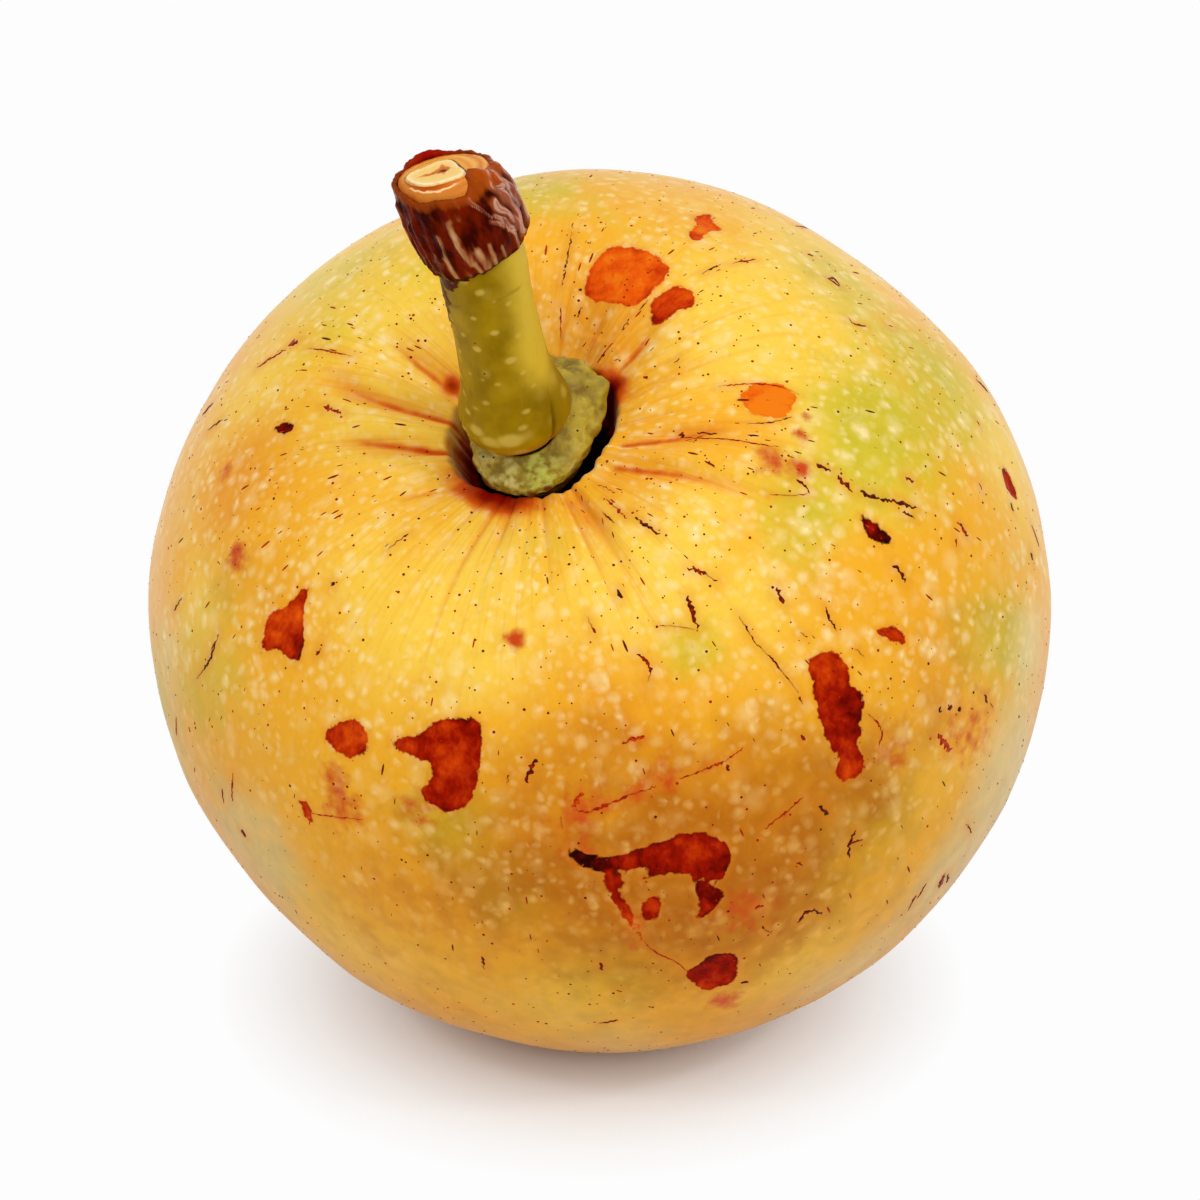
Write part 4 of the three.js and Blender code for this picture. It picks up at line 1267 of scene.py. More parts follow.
def collar_shape():
    loop = smooth_curve(COLLAR_PROFILE, COLLAR_STEPS, closed=True)
    rows = len(loop)
    turn, row = ring_grid(-180, COLLAR_COLUMNS, np.arange(rows))
    radius, height = loop[row, 0], loop[row, 1]
    at, edge, raised = np.array(COLLAR_EDGE).T
    outward = ease(radius, 4.2, 5.6)
    high = ease(height, 31.5, 34)
    wide = (np.interp(turn, at, edge) - COLLAR_INNER) / (COLLAR_OUTER - COLLAR_INNER)
    radius = radius + (radius - COLLAR_INNER) * (wide - 1) * high
    height = height + np.interp(turn, at, raised) * ease(height, 32, 34.5)
    flat = turned(radius, turn, height)
    lump = noise_sum(flat, COLLAR_LUMPS)
    nick = noise_sum(flat, COLLAR_NICKS) * ease(radius, 5.6, 6.4)
    wart = sum(rise * warts_at(flat, size, seed) for rise, size, seed in COLLAR_WARTS)
    radius = radius + outward * (lump + nick + 0.6 * wart)
    height = height + outward * high * (0.8 * lump + wart)
    points = turned(radius, turn, height) + [COLLAR_OFFSET_X, 0, 0]
    edge_r = np.interp(turn, at, edge)
    not_on_stub = 1 - 0.8 * bell(turn_between(turn, 40), 50)
    numbers = {
        "rim": ease(radius, edge_r - 0.5, edge_r + 0.3) * high * not_on_stub,
        "lump": lump + wart - 0.12,
        "front": bell(turn_between(turn, -85), 50),
        "fresh": bell(turn_between(turn, -58), 16) * high,
    }
    return add_piece("calyx_ring", points, grid_faces(rows, COLLAR_COLUMNS, closed=True), **numbers)


calyx_ring = collar_shape()

# %% [markdown]
# ## The green stalk
# The stalk swells to a rounded foot that overhangs the collar, thins to a smooth shank and
# runs on under the bark. Its skin has a few raised pale pores, a crease a little under the
# bark, shallow dents, and brown rags of torn bark on the left. The foot has a crease on the
# right, where it parts from the sepal stub, and two fine ones on the left.

# %% Stalk
STALK_COLUMNS, STALK_RINGS = 160, 230
# Distance along, angle, width in mm and strength
STALK_PORES = [
    (18.5, 262, .9, .6), (20.5, 282, .8, .6), (15.3, 246, 1.7, .8), (14.4, 268, 1.3, .5),
    (14.8, 285, 2.2, .9), (16.6, 231, .9, .9), (19.8, 214, 1, .9), (21.2, 243, .7, .5),
    (17.2, 309, .9, .7), (19.2, 328, .7, .6), (22.8, 305, 1.3, .9), (24.4, 263, 1.1, .9),
    (25.6, 244, .8, .6), (26.1, 292, 1, .8), (27.8, 268, .8, .7), (28.6, 318, .9, .6),
    (23.2, 226, .8, .7), (13.3, 262, .9, .5), (13.2, 292, 1.4, .8), (29.2, 300, .6, .5),
    (14.6, 262, 1.8, .7), (17.6, 246, .8, .5), (21, 318, .8, .7), (25, 322, .9, .6),
    (30.3, 283, 1.1, .7), (15.8, 300, 1, .6), (18.2, 222, 1.1, .6), (26.6, 222, .7, .6),
    (14.2, 222, .9, .6), (20.9, 262, .6, .5), (18, 40, .9, .8), (24, 80, .8, .7), (15, 120, 1, .8),
    (27, 130, .7, .6), (21, 170, .8, .8), (25.5, 20, .7, .7), (19, 100, 1.1, .7), (23, 140, .9, .6),
    (29, 60, .8, .7), (16.5, 70, 1.2, .6),
]
# Depth, angle, degrees it turns in a mm, width in degrees, distance along and reach in mm
FOOT_FOLDS = [(.34, 330, 4, 4, 14.2, 2.6), (.2, 208, 3, 3, 14, 2), (.14, 220, 4, 2.5, 13.6, 1.4)]
STALK_DENTS = [(0.12, 2.6, 30, 0.45), (0.03, 0.7, 31, 1)]
SHANK_R = 4.2
RAGS = [(5.2, 205, 32), (0.7, 252, 22)]  # reach in mm, angle and width in degrees
UNDER_BARK, CORE_END = 3.2, 4.6  # mm of skin under the bark, and of core short of the cut


def sleeve_foot(turn):
    """How far along the stalk the bark's lower edge lies past SLEEVE_START, at each angle."""
    return 1.4 + 0.8 * np.cos(np.radians(turn + 10))


def stalk_shape():
    covered = SLEEVE_START + UNDER_BARK
    end = STALK_LENGTH - CORE_END
    reach = np.concatenate([np.linspace(0, 11, 8), np.linspace(11.3, covered, STALK_RINGS - 13),
                            np.linspace(covered + 0.3, end, 5)])
    table = dense_line([(d, v, 0) for d, v in STALK_RADII], 12)[0]
    turn, distance = ring_grid(0, STALK_COLUMNS, reach)
    radius = np.interp(distance, table[:, 0], table[:, 1])
    radius = np.where(distance > covered, CORE_R, radius)
    wrapped = turned(SHANK_R, turn, distance)
    skin_part = ease(distance, 12, 12.8) * (1 - ease(distance, covered - 0.3, covered))
    dents = noise_sum(wrapped, STALK_DENTS)
    below = SLEEVE_START + sleeve_foot(turn) - distance
    ring_at = 3.4 + 0.5 * np.sin(np.radians(turn)) + 0.5 * noise_at(wrapped * [1, 1, 0], 3.0, 34)
    ring = bell(below - ring_at, 0.28) * ease(noise_at(wrapped * [1, 1, 0], 2.6, 35), -0.35, 0.3)
    crease = -0.10 * ring
    foot_fold = np.zeros(len(turn))
    for depth, angle, slant, width, at, fold_reach in FOOT_FOLDS:
        from_fold = turn_between(turn, angle + slant * (distance - 13))
        foot_fold -= depth * bell(from_fold, width) * bell(distance - at, fold_reach)
    pore = np.zeros(len(turn))
    for at, angle, width, strength in STALK_PORES:
        apart = np.hypot((distance - at) / 0.62, 4.3 * np.radians(turn_between(turn, angle)))
        pore = np.maximum(pore, strength * (1 - ease(apart, 0.15 * width, 0.75 * width)))
    # Rags: slanting shreds that hang from the bark's edge at the left.
    slanted = turned(SHANK_R, turn, 2.4 * (distance + 0.045 * turn))
    rag_reach = sum(most * bell(turn_between(turn, angle), width) for most, angle, width in RAGS)
    rag = ease(1 - below / np.maximum(rag_reach, 0.1) + 1.0 * noise_at(slanted, 1.1, 33), 0.30, 0.42)
    rag *= (rag_reach > 0.3) * skin_part
    radius = radius + skin_part * (dents + crease + foot_fold + 0.06 * pore + 0.12 * rag)
    points = np.vstack([tube_points(distance, turn, radius), along_stalk(np.array([0, end]))[0]])
    numbers = {"pore": pore, "rag": rag, "foot": 1 - ease(distance, 12.2, 14.2),
               # Where the creases are painted darker as shade.
               "crease": 0.45 * ring - 2 * foot_fold,
               # Where the right side of the stalk is painted lighter.
               "sunny": bell(turn_between(turn, 356), 44) * ease(distance, 14, 22)}
    numbers = {name: np.append(values, [0, 0]) for name, values in numbers.items()}
    wrapped = np.vstack([wrapped, np.zeros((2, 3))])
    faces = capped_faces(len(reach), STALK_COLUMNS)
    return add_piece("green_stalk", points, faces, wrapped=wrapped, **numbers)


green_stalk = stalk_shape()

# %% [markdown]
# ## The bark sleeve
# Round the cut end the bark dried to a glossy mahogany sleeve. It shrank onto hard tan ribs
# near its lower edge and into big slanting folds on the right. Its top is torn: a thin lip
# stands up at the back left, a thick one is rolled over at the right, and at the front it broke
# away. Ribs and folds are paths: angle round the stalk, and distance along it.

# %% Sleeve
SLEEVE_COLUMNS, SLEEVE_RINGS = 280, 130
# Share of the sleeve's length, and radius
SLEEVE_SHAPE = [(0, 4.2), (.02, 4.4), (.1, 4.7), (.2, 4.9), (.45, 5.08), (.65, 5), (.85, 4.75), (1, 4.5)]
# Angle, and height of the torn rim over the end of the stalk's line
TORN_RIM = [
    (0, -.3), (20, -.7), (45, -.8), (60, -.6), (90, .1), (104, .3), (118, 1.1), (135, 1.4), (150, 1.4),
    (165, 1.2), (180, 1.4), (207, 1.5), (222, 1.2), (238, .9), (248, .6), (255, .1), (270, .05),
    (285, -.1), (300, -.7), (315, -.8), (325, -.4), (335, .2), (346, .6), (354, .3), (360, -.3),
]
# Width, height, how tan, and the path
BARK_RIBS = [
    (1.0, .30, 1, [(287, 8), (283, 5.6), (287, 3.3)]), (.8, .28, .9, [(269, 7), (265, 4.7)]),
    (.9, .26, .9, [(263, 4.5), (265, 2.3)]), (1.2, .28, 1, [(299, 4.3), (302, 2.4)]),
    (.9, .26, 1, [(289, 3.3), (294, 1.8)]), (.7, .26, .9, [(312, 4.4), (314, 2.4)]),
    (.6, .24, .9, [(325, 3.6), (326, 2.5)]), (.6, .2, .6, [(276, 3), (278, 1.8)]),
    (.8, .2, .6, [(252, 5.2), (253, 2)]), (.7, .2, .5, [(241, 8.6), (238, 3)]),
    (1, .2, .5, [(301, 9.6), (298, 8)]), (.7, .2, .6, [(229, 8), (226, 2)]),
    (.8, .25, .5, [(216, 10), (212, 3)]), (.7, .2, .3, [(200, 8), (198, 2.5)]),
]
# Width, height and the path
BARK_FOLDS = [
    (.9, .55, [(348, 10), (346, 8.8), (354, 6.8), (359, 3.5)]),
    (.7, .45, [(337, 7.6), (344, 5.5), (359, 3.5)]), (.5, .25, [(318, 9.0), (325, 6.6)]),
    (.6, .4, [(321, 6.2), (334, 5.2)]), (.6, .35, [(331, 6.5), (345, 3.8), (347, 2.6)]),
    (.8, .5, [(3, 9.4), (8, 7), (18, 4.5), (22, 3)]), (.7, .4, [(359, 8), (12, 6.4), (26, 6)]),
    (.8, .4, [(28, 9), (32, 6), (45, 3.6)]), (.5, .3, [(340, 4.6), (352, 4), (6, 3)]),
    (.8, .35, [(55, 9), (58, 5.4), (70, 3)]), (.5, .3, [(352, 8.4), (4, 7.2), (6, 5.4)]),
    (.8, .3, [(90, 9), (96, 4)]), (.9, .35, [(130, 10), (126, 6), (136, 3)]),
    (.8, .3, [(160, 10), (166, 4)]),
]
SLEEVE_R, SLEEVE_THICKNESS, LIP_THICKNESS = 5, 0.42, 1.9
INNER_STEP, LIP_DEG, LIP_WIDTH_DEG = 9, 354, 31
BACK_DEG, BACK_WIDTH_DEG = 128, 34
# Layers of noise, as for the skin
RIM_TEETH = [(0.16, 0.8, 40, 1), (0.10, 0.3, 41, 1)]
FOOT_WAVES = [(0.10, 2.4, 42, 1)]
BARK_WRINKLES = [(1, 0.5, 45, 0.3), (0.5, 0.35, 46, 1)]
BARK_WAVES = [(0.14, 3.2, 47, 0.4), (0.10, 1.3, 44, 0.6)]


def path_distance(turn, distance, path, wrap_radius=4.9):
    """Distance in mm of each place on the stalk from a path of (angle, distance along)."""
    nearest = np.full(len(turn), np.inf)
    for (turn_a, at_a), (turn_b, at_b) in zip(path, path[1:]):
        to_x = wrap_radius * np.radians((turn - turn_a + 180) % 360 - 180)
        edge_x = wrap_radius * math.radians((turn_b - turn_a + 180) % 360 - 180)
        edge_y = at_b - at_a
        share = np.clip((to_x * edge_x + (distance - at_a) * edge_y) / (edge_x ** 2 + edge_y ** 2), 0, 1)
        nearest = np.minimum(nearest, np.hypot(to_x - share * edge_x, distance - at_a - share * edge_y))
    return nearest


def on_inside(values):
    """The values at every ninth ring, from the top down, for the sleeve's plainer inside."""
    return values.reshape(SLEEVE_RINGS, -1)[::-INNER_STEP].ravel()


def sleeve_shape():
    turn, share = ring_grid(0, SLEEVE_COLUMNS, np.linspace(0, 1, SLEEVE_RINGS))
    ragged = turned(SLEEVE_R, turn, 0)
    lip = bell(turn_between(turn, LIP_DEG), LIP_WIDTH_DEG)
    top = SLEEVE_LENGTH + np.interp(turn, *np.array(TORN_RIM).T)
    top = top + noise_sum(ragged, RIM_TEETH) * (1 - 0.8 * lip)
    bottom = sleeve_foot(turn) + noise_sum(ragged, FOOT_WAVES)
    distance = bottom + share * (top - bottom)
    wrapped = turned(SLEEVE_R, turn, distance)
    radius = np.interp(share, *np.array(SLEEVE_SHAPE).T)

    ribs, tan = np.zeros(len(turn)), np.zeros(len(turn))
    bent = turn + 3.0 * noise_at(wrapped, 2.2, 48)
    for width, height, tone, path in BARK_RIBS:
        part = bell(path_distance(bent, distance, path), 0.45 * width)
        ribs = np.maximum(ribs, 1.3 * height * part)
        tan = np.maximum(tan, tone * part)
    folds, film = np.zeros(len(turn)), np.zeros(len(turn))
    bent = turn + 7.0 * noise_at(wrapped, 1.6, 49)
    for width, height, path in BARK_FOLDS:
        apart = path_distance(bent, distance, path)
        folds = np.maximum(folds, height * bell(apart, 0.55 * width) ** 0.8)
        # A thin line beside each fold, for a painted highlight.
        film = np.maximum(film, bell(apart - 0.15, 0.13))
    wrinkle, wave = noise_sum(wrapped, BARK_WRINKLES), noise_sum(wrapped, BARK_WAVES)
    fine_ribs = np.clip(1 - 2.5 * np.abs(noise_at(wrapped * [1, 1, 0.2], 1.0, 52)), 0, 1)
    knots = np.clip(1 - 3 * np.abs(noise_at(wrapped * [1, 1, 0.5], 1.3, 53)), 0, 1)
    radius = radius + ribs + folds + 0.05 * wrinkle + wave + 0.07 * fine_ribs + 0.07 * knots

    # The rim is rolled in: hardly at the thin edge, as a quarter round at the thick lip.
    thickness = SLEEVE_THICKNESS + (LIP_THICKNESS - SLEEVE_THICKNESS) * lip
    roll = np.clip(1 - (top - distance) / (0.25 + 0.8 * lip), 0, 1)
    roll = thickness * 0.5 * (1 - np.sqrt(1 - roll ** 2))
    outer = tube_points(SLEEVE_START + distance, turn, radius - roll)
    inner_r = np.maximum(on_inside(radius - thickness), CORE_R + 0.2)
    inner = tube_points(SLEEVE_START + on_inside(distance), on_inside(turn), inner_r)
    rows = SLEEVE_RINGS + len(inner) // SLEEVE_COLUMNS
    faces = grid_faces(rows, SLEEVE_COLUMNS, closed=True)
    numbers = {
        "rib": tan,
        "fold": folds,
        "crest": folds + 0.5 * ribs,
        "film": film + 0.3 * knots,
        # Lines along the folds and over the knots, for painted highlights.
        "height": distance - bottom,
        "from_top": top - distance,
        "lip": lip,
        "back": bell(turn_between(turn, BACK_DEG), BACK_WIDTH_DEG),
    }
    numbers = {name: np.append(values, on_inside(values)) for name, values in numbers.items()}
    wrapped = np.vstack([wrapped, np.zeros((len(inner), 3))])
    return add_piece("dry_bark_sleeve", np.vstack([outer, inner]), faces, wrapped=wrapped, **numbers)


dry_bark_sleeve = sleeve_shape()

# %% [markdown]
# ## The cut end
# The cut shows a pale, slightly bean-shaped face of wood with a brown star crack in it, a thin
# groove round that, painted dark with shade except in front, and a ring of orange inner bark that
# slopes down in two steps to the torn edge in front. It is one shape of rings: each ring is a share
# of the wood's own outline up to its edge, and eases to a circle outside it. The knife went through
# at a slant.

# %% Cut wood and inner bark
CUT_COLUMNS, WOOD_STEPS = 200, 8
WOOD_MIDDLE = (0, -0.35)
WOOD_OUTLINE = [
    (2.4, 0.1), (1.3, 1.3), (0.5, 2.3), (-.3, 2.8), (-1.2, 2.5), (-1.8, 1.6), (-2.6, .6), (-2.9, -.8),
    (-1.7, -2.1), (-.3, -2.65), (.9, -2.45), (2, -1.6), (2.6, -.8),
]
# Ring, as a share of the wood's outline, and height over the cut
CUT_STEPS = [
    (.12, -.02), (.25, 0), (.4, .02), (.55, .02), (.7, 0), (.82, .02), (.92, .06), (.98, .05),
    (1.01, -.06), (1.03, -.2), (1.07, -.2), (1.1, -.06), (1.16, -.02), (1.24, 0), (1.32, -.02),
    (1.4, -.04), (1.47, -.06), (1.54, -.1), (1.6, -.2), (1.64, -.6), (1.66, -1.4), (1.67, -2.6),
    (1.67, -4), (1.5, -4.6), (1, -4.8), (.4, -4.8),
]
CUT_RISE, CUT_SLANT_X, CUT_SLANT_Y = 0.65, -0.19, -0.16
BARK_OUTER_R, OUTER_RING = 4.3, 1.66  # radius of the inner bark's edge, and which ring it is
FRONT_DEG, FRONT_WIDTH_DEG = -88, 62
# Fall in mm, first and last ring
LEDGES = [(0.5, 1.04, 1.3), (0.25, 1.34, 1.38), (0.75, 1.38, OUTER_RING)]


def cut_shape():
    outline = smooth_curve(WOOD_OUTLINE, WOOD_STEPS, closed=True)
    outline_turn = np.degrees(np.arctan2(outline[:, 1], outline[:, 0]))
    order = np.argsort(outline_turn)
    share_of, drop = np.array(CUT_STEPS).T
    turn, row = ring_grid(-180, CUT_COLUMNS, np.arange(len(share_of)))
    share, height = share_of[row], drop[row]
    wood_r = np.interp(turn, outline_turn[order], np.hypot(*outline[order].T), period=360)
    outside = ease(share, 1.0, OUTER_RING)
    wood = wood_r * np.minimum(share, 1.1)
    radius = wood * (1 - outside) + BARK_OUTER_R * (share / OUTER_RING) * outside
    flat = turned(radius, turn, height)
    radius = radius + 0.06 * noise_at(flat, 0.7, 50) * ease(share, 0.9, 1.1) * ease(height, -1, -0.2)
    x, y = turned(radius, turn, 0)[:, :2].T + np.outer(WOOD_MIDDLE, 1 - outside)
    # In front the bark ring slopes down: a first ledge, a small step and a second ledge.
    front = bell(turn_between(turn, FRONT_DEG), FRONT_WIDTH_DEG)
    ledge = sum(fall * ease(share, start, end) for fall, start, end in LEDGES)
    height = height - front * ledge + 0.04 * noise_at(flat, 0.5, 51) * ease(height, -1.5, -0.4)
    # The crack: a small round hole with two arms across it.
    hole = np.hypot(x - 0.1, y - 0.3) - 0.25
    first_arm = np.abs((x - 0.1) * 0.89 + (y - 0.3) * 0.46)
    first_arm = first_arm + 0.35 * np.abs((y - 0.3) * 0.89 - (x - 0.1) * 0.46)
    second_arm = np.abs((y - 0.2) * 0.8 - (x + 0.1) * 0.6 + 0.25) + 0.4 * np.abs(x + 0.5)
    crack = np.minimum.reduce([hole, first_arm - 0.1, second_arm - 0.1])
    height = height - 0.3 * (1 - ease(crack, 0.0, 0.3)) * (share < 0.9)
    slant = CUT_RISE + CUT_SLANT_X * x + CUT_SLANT_Y * y
    height = height + slant * ease(height, -2.5, -1)
    middle, right, up, forward = along_stalk(np.array([STALK_LENGTH]))
    points = middle + x[:, None] * right + y[:, None] * up + height[:, None] * forward
    ends = middle + np.array([[-4.8], [CUT_RISE - 0.02]]) * forward
    ends[1] += WOOD_MIDDLE[1] * up[0]
    faces = capped_faces(len(share_of), CUT_COLUMNS)
    # The rings run from the middle out and then down, so the two fans swap their middle points.
    low, top = len(points), len(points) + 1
    faces = [tuple(reversed([{low: top, top: low}.get(v, v) for v in face])) for face in faces]
    wrapped = np.vstack([np.stack([x, y, height], 1), np.zeros((2, 3))])
    return add_piece("cut_wood", np.vstack([points, ends]), faces, ring=np.append(share, [1.6, 0]),
                     crack=np.append(crack, [9, 0]), front=np.append(front, [0, 0]), wrapped=wrapped)


cut_wood = cut_shape()

# %% [markdown]
# ## The finishes of the stalk's pieces
# Materials: green bark of the stalk, smooth and slightly waxy, olive with soft pale pores
# 1 to 2 mm wide and pinpoint brown specks, with painted light down its right side and painted
# shade in its creases; the shrivelled calyx, grey-green and warty with a brown rim and painted
# shade in its hollows; dried bark, a shrunken mahogany layer that is glossy like varnish, with tan
# ribs where it is thin and painted highlights on its folds and ribs; and the fresh cut, cream wood
# in a ring of orange inner bark, with painted shade in the groove between them.

# %% Green bark
# The last of these colours is painted light down the stalk's right side.
STALK_OLIVE, STALK_LIGHT, STALK_PORE, STALK_PAINTED_LIGHT = "#866800", "#a68408", "#d0b24e", "#d8b634"
# The last brown is for pinpoint specks, and for painted shade in the creases.
RAG_BROWN, FOOT_OCHRE, SPECK_AND_CREASE_SHADE_BROWN = "#481000", "#a35a05", "#4a2402"
STALK_CLOUD_MM, STALK_GRAIN_MM = 4.0, 0.5
BLOT_MM, SPECK_MM = 2.4, 1.7  # cells that hold one pale blot, or one brown speck, each


def green_bark_finish():
    numbers = ("pore", "rag", "foot", "crease", "sunny", "wrapped")
    material, add, stored = start_finish("smooth_green_bark", numbers, Roughness=0.35, IOR=1.45,
                                         Specular_IOR_Level=0.12, Specular_Tint=linear(WARM_GLOSS))
    wrapped = stored["wrapped"]
    clouds = add(*NOISE, [wrapped, 1 / STALK_CLOUD_MM, 3.0])
    fine = add(*NOISE, [add(*STRETCH, [wrapped, (1, 1, 0.35)]), 1 / STALK_GRAIN_MM, 4.0])
    # Lighter down the right side of the stalk: painted light.
    sunny = add(*STEP, [add(*MORE, [clouds, 0.5, stored["sunny"]]), 0.35, 1.2])
    pore = add(*STEP, [add(*MORE, [fine, 0.3, stored["pore"]]), 0.2, 1.0])
    colour = painted(add, STALK_OLIVE, [
        (add(*STEP, [clouds, 0.35, 0.7]), 1, STALK_LIGHT),
        (add(*STEP, [fine, 0.5, 0.8]), 0.35, STALK_LIGHT),
        (sunny, 1, STALK_PAINTED_LIGHT),
        (pore, 0.7, STALK_PORE),
        (grains_at(add, wrapped, BLOT_MM, 0.36, 0.12, 0.5, 0.9), 0.45, STALK_PORE),
        (grains_at(add, wrapped, SPECK_MM, 0.085, 0.05, 0.45, 0.55), 1, SPECK_AND_CREASE_SHADE_BROWN),
        (add(*TIMES, [stored["foot"], add(*STEP, [clouds, 0.3, 0.7])]), 1, FOOT_OCHRE),
        # Darker in the ring crease and the foot's folds: painted shade.
        (add(*STEP, [stored["crease"], 0.1, 0.8]), 0.7, SPECK_AND_CREASE_SHADE_BROWN),
        (stored["rag"], 1, RAG_BROWN),
    ])
    return end_finish(material, add, add(*MORE, [clouds, 0.5, fine]), 0.3, 0.1, Base_Color=colour)


green_stalk.data.materials.append(green_bark_finish())

# %% Shrivelled calyx
CALYX_OLIVE, CALYX_LIGHT, CALYX_PALE, CALYX_FRESH = "#947a0e", "#bea22a", "#d4c678", "#b8c040"
# The middle one of these is painted shade for the hollows.
CALYX_BROWN, CALYX_HOLLOW_SHADE, CALYX_SPECK = "#6a3204", "#6e4e08", "#2a0d02"
CALYX_CLOUD_MM, CALYX_GRAIN_MM, CALYX_SPECK_MM = 2.6, 0.5, 1.1


def calyx_finish():
    numbers = ("rim", "lump", "front", "fresh")
    material, add, stored = start_finish("shrivelled_calyx", numbers, Roughness=0.2, IOR=1.45,
                                         Specular_IOR_Level=0.2)
    mm = place_in_mm(add)
    clouds = add(*NOISE, [mm, 1 / CALYX_CLOUD_MM, 3.0])
    fine = add(*NOISE, [mm, 1 / CALYX_GRAIN_MM, 3.0])
    pale = add(*STEP, [add(*MORE, [fine, 0.5, stored["lump"]]), 0.05, 0.42])
    # Darker in the hollows between the lumps: painted shade.
    painted_hollow_shade = add(*STEP, [add(*MORE, [fine, 0.3, stored["lump"]]), 0.12, -0.15])
    colour = painted(add, CALYX_OLIVE, [
        (add(*STEP, [clouds, 0.38, 0.66]), 1, CALYX_LIGHT),
        (add(*TIMES, [stored["front"], pale]), 0.8, CALYX_PALE),
        (add(*TIMES, [stored["fresh"], add(*STEP, [fine, 0.3, 0.7])]), 1, CALYX_FRESH),
        (painted_hollow_shade, 0.6, CALYX_HOLLOW_SHADE),
        (add(*STEP, [add(*MORE, [clouds, 1.0, stored["rim"]]), 1.0, 1.5]), 1, CALYX_BROWN),
        (grains_at(add, mm, CALYX_SPECK_MM, 0.14, 0.08, 0.5, 0.6), 1, CALYX_SPECK),
    ])
    return end_finish(material, add, fine, 0.8, 0.2, Base_Color=colour)


calyx_ring.data.materials.append(calyx_finish())

# %% Dried bark
BARK_DARK, BARK_MAHOGANY, BARK_RED, BARK_TAN = "#340300", "#6e1600", "#a04612", "#b8804c"
# Pale colour of the painted highlights on folds and ribs.
BARK_GLINT = "#dcb096"
# The last is a painted highlight on the folds.
BARK_LIP, BARK_BACK_RED, BARK_FOLD_HIGHLIGHT = "#b04c0c", "#a81506", "#984a30"
BARK_GLOSS = "#ffa884"
BARK_CLOUD_MM, BARK_GRAIN_MM, BARK_KNOT_MM = 1.8, 0.6, 0.7


def dried_bark_finish():
    numbers = ("rib", "fold", "crest", "film", "height", "from_top", "lip", "back", "wrapped")
    material, add, stored = start_finish("glossy_dried_bark", numbers, IOR=1.5,
                                         Specular_Tint=linear(BARK_GLOSS))
    wrapped = stored["wrapped"]
    clouds = add(*NOISE, [add(*STRETCH, [wrapped, (1, 1, 0.4)]), 1 / BARK_CLOUD_MM, 3.0])
    grain = add(*NOISE, [add(*STRETCH, [wrapped, (1, 1, 0.25)]), 1 / BARK_GRAIN_MM, 4.0])
    rib = add(*MORE, [grain, 1.6, stored["rib"]])
    under_lip = add(*MORE, [stored["lip"], -1.5, stored["from_top"]])
    near_top = add(*STEP, [add(*MORE, [grain, 1.0, add(*STEP, [under_lip, 1.5, 0.0])]), 0.8, 1.5])
    near_top = add(*TIMES, [near_top, add(*MORE, [stored["lip"], 0.4, 0.55])])
    lifted = add(*TIMES, [add(*STEP, [stored["from_top"], 1.4, 0.6]), stored["back"]])
    # Thin pale lines along the folds and over the knots, broken by the grain: painted highlights.
    film = add(*TIMES, [add(*STEP, [stored["film"], 0.5, 1.0]), add(*STEP, [grain, 0.4, 0.62])])
    colour = painted(add, BARK_DARK, [
        (add(*STEP, [clouds, 0.4, 0.62]), 1, BARK_MAHOGANY),
        (add(*STEP, [add(*MORE, [grain, 0.9, stored["crest"]]), 0.5, 0.9]), 0.75, BARK_RED),
        # Pinkish on the folds: painted highlight.
        (add(*STEP, [stored["fold"], 0.1, 0.5]), 0.65, BARK_FOLD_HIGHLIGHT),
        (add(*STEP, [rib, 1.2, 2.0]), 1, BARK_TAN),
        # Palest on the tan ribs' crests: painted highlight.
        (add(*STEP, [rib, 1.75, 2.2]), 0.6, BARK_GLINT),
        (near_top, 1, BARK_LIP),
        (lifted, 1, BARK_BACK_RED),
        (film, 0.6, BARK_GLINT),
        (add(*STEP, [stored["height"], 0.5, 0.15]), 1, BARK_DARK),
    ])
    # Stretched tight over a ridge the bark shines, and in the hollows it is dull.
    shine = add(*MORE, [add(*STEP, [stored["crest"], 0.1, 0.45]), 0.45, 0.04])
    knots = add(*NOISE, [wrapped, 1 / BARK_KNOT_MM, 3.0])
    return end_finish(material, add, add(*MORE, [knots, 0.8, grain]), 0.6, 0.16, Base_Color=colour,
                      Specular_IOR_Level=shine, Roughness=add(*MORE, [grain, 0.2, 0.04]))


dry_bark_sleeve.data.materials.append(dried_bark_finish())

# %% Fresh cut
CUT_COLOURS = [
    (0.0, "#f7c66c"), (0.4, "#f8cb74"), (0.54, "#fbd88c"), (0.58, "#feedbc"), (0.61, "#fbdc98"),
    (0.64, "#d88a2c"), (0.68, "#f0b048"), (0.78, "#e48c20"), (0.84, "#f2b452"), (0.90, "#d8781a"),
    (0.95, "#eeb050"), (0.975, "#c8661a"), (1.0, "#a8480c"),
]
WOOD_GRAIN_MM = 0.5
LEDGE_ORANGE, OUTER_ORANGE, STEP_PALE = "#c65404", "#d8812c", "#ffd79a"
# The groove's brown is painted shade.
CRACK_ORANGE, CRACK_BROWN, GROOVE_SHADE_BROWN, WOOD_GRAIN = "#cf7a2c", "#742a06", "#4a1402", "#e9a04a"


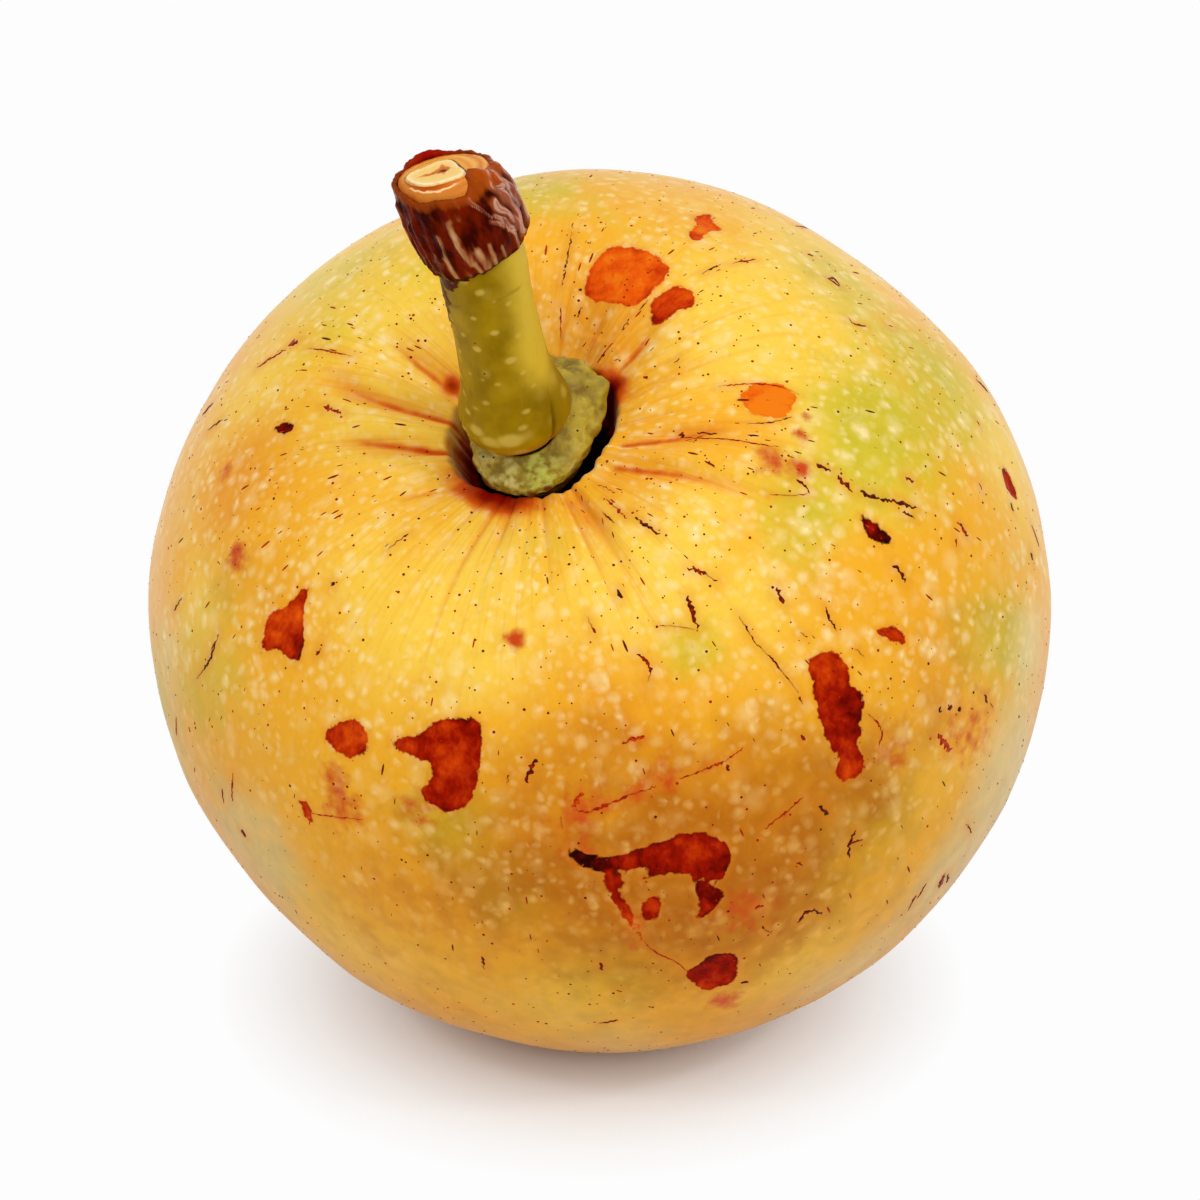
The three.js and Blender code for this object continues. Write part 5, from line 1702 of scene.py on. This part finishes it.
def fresh_cut_finish():
    numbers = ("ring", "crack", "front", "wrapped")
    material, add, stored = start_finish("fresh_cut_wood", numbers, Roughness=0.38,
                                         Specular_IOR_Level=0.08)
    fine = add(*NOISE, [stored["wrapped"], 1 / WOOD_GRAIN_MM, 4.0])
    across = add(*MORE, [fine, 0.08, add(*LESS, [stored["ring"], 0.04])])
    rings = add("ShaderNodeValToRGB", {"stops": CUT_COLOURS}, [add(*TIMES, [across, 1 / OUTER_RING])])
    pale_line = add(*TIMES, [add(*STEP, [across, 1.32, 1.36]), add(*STEP, [across, 1.41, 1.37])])
    in_front = add(*STEP, [add(*MORE, [fine, 0.4, stored["front"]]), 0.7, 0.9])
    groove = add(*TIMES, [add(*STEP, [across, 1.0, 1.03]), add(*STEP, [across, 1.1, 1.07])])
    behind = add(*STEP, [add(*MORE, [fine, 1.1, stored["front"]]), 0.75, 0.5])
    cracked = add(*MORE, [fine, 0.25, stored["crack"]])
    colour = painted(add, rings, [
        (add(*STEP, [fine, 0.5, 0.8]), 0.3, WOOD_GRAIN),
        (add(*TIMES, [add(*STEP, [across, 1.06, 1.12]), stored["front"]]), 1, LEDGE_ORANGE),
        (add(*TIMES, [add(*STEP, [across, 1.30, 1.40]), stored["front"]]), 1, OUTER_ORANGE),
        (add(*TIMES, [pale_line, in_front]), 1, STEP_PALE),
        # Dark in the groove round the wood, except in front: painted shade.
        (add(*TIMES, [groove, behind]), 1, GROOVE_SHADE_BROWN),
        (add(*STEP, [cracked, 0.62, 0.40]), 1, CRACK_ORANGE),
        (add(*STEP, [cracked, 0.32, 0.18]), 1, CRACK_BROWN),
    ])
    return end_finish(material, add, fine, 0.5, 0.1, Base_Color=colour)


cut_wood.data.materials.append(fresh_cut_finish())
for piece, node, slot in ((calyx_ring, "calyx_collar", "calyx"), (green_stalk, "stalk", "green_stalk"),
                          (dry_bark_sleeve, "bark_sleeve", "dry_bark")):
    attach(piece, "root")
    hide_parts(node)
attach(cut_wood, "root")
print("finishes:", ", ".join(sorted(m.name for m in bpy.data.materials)))
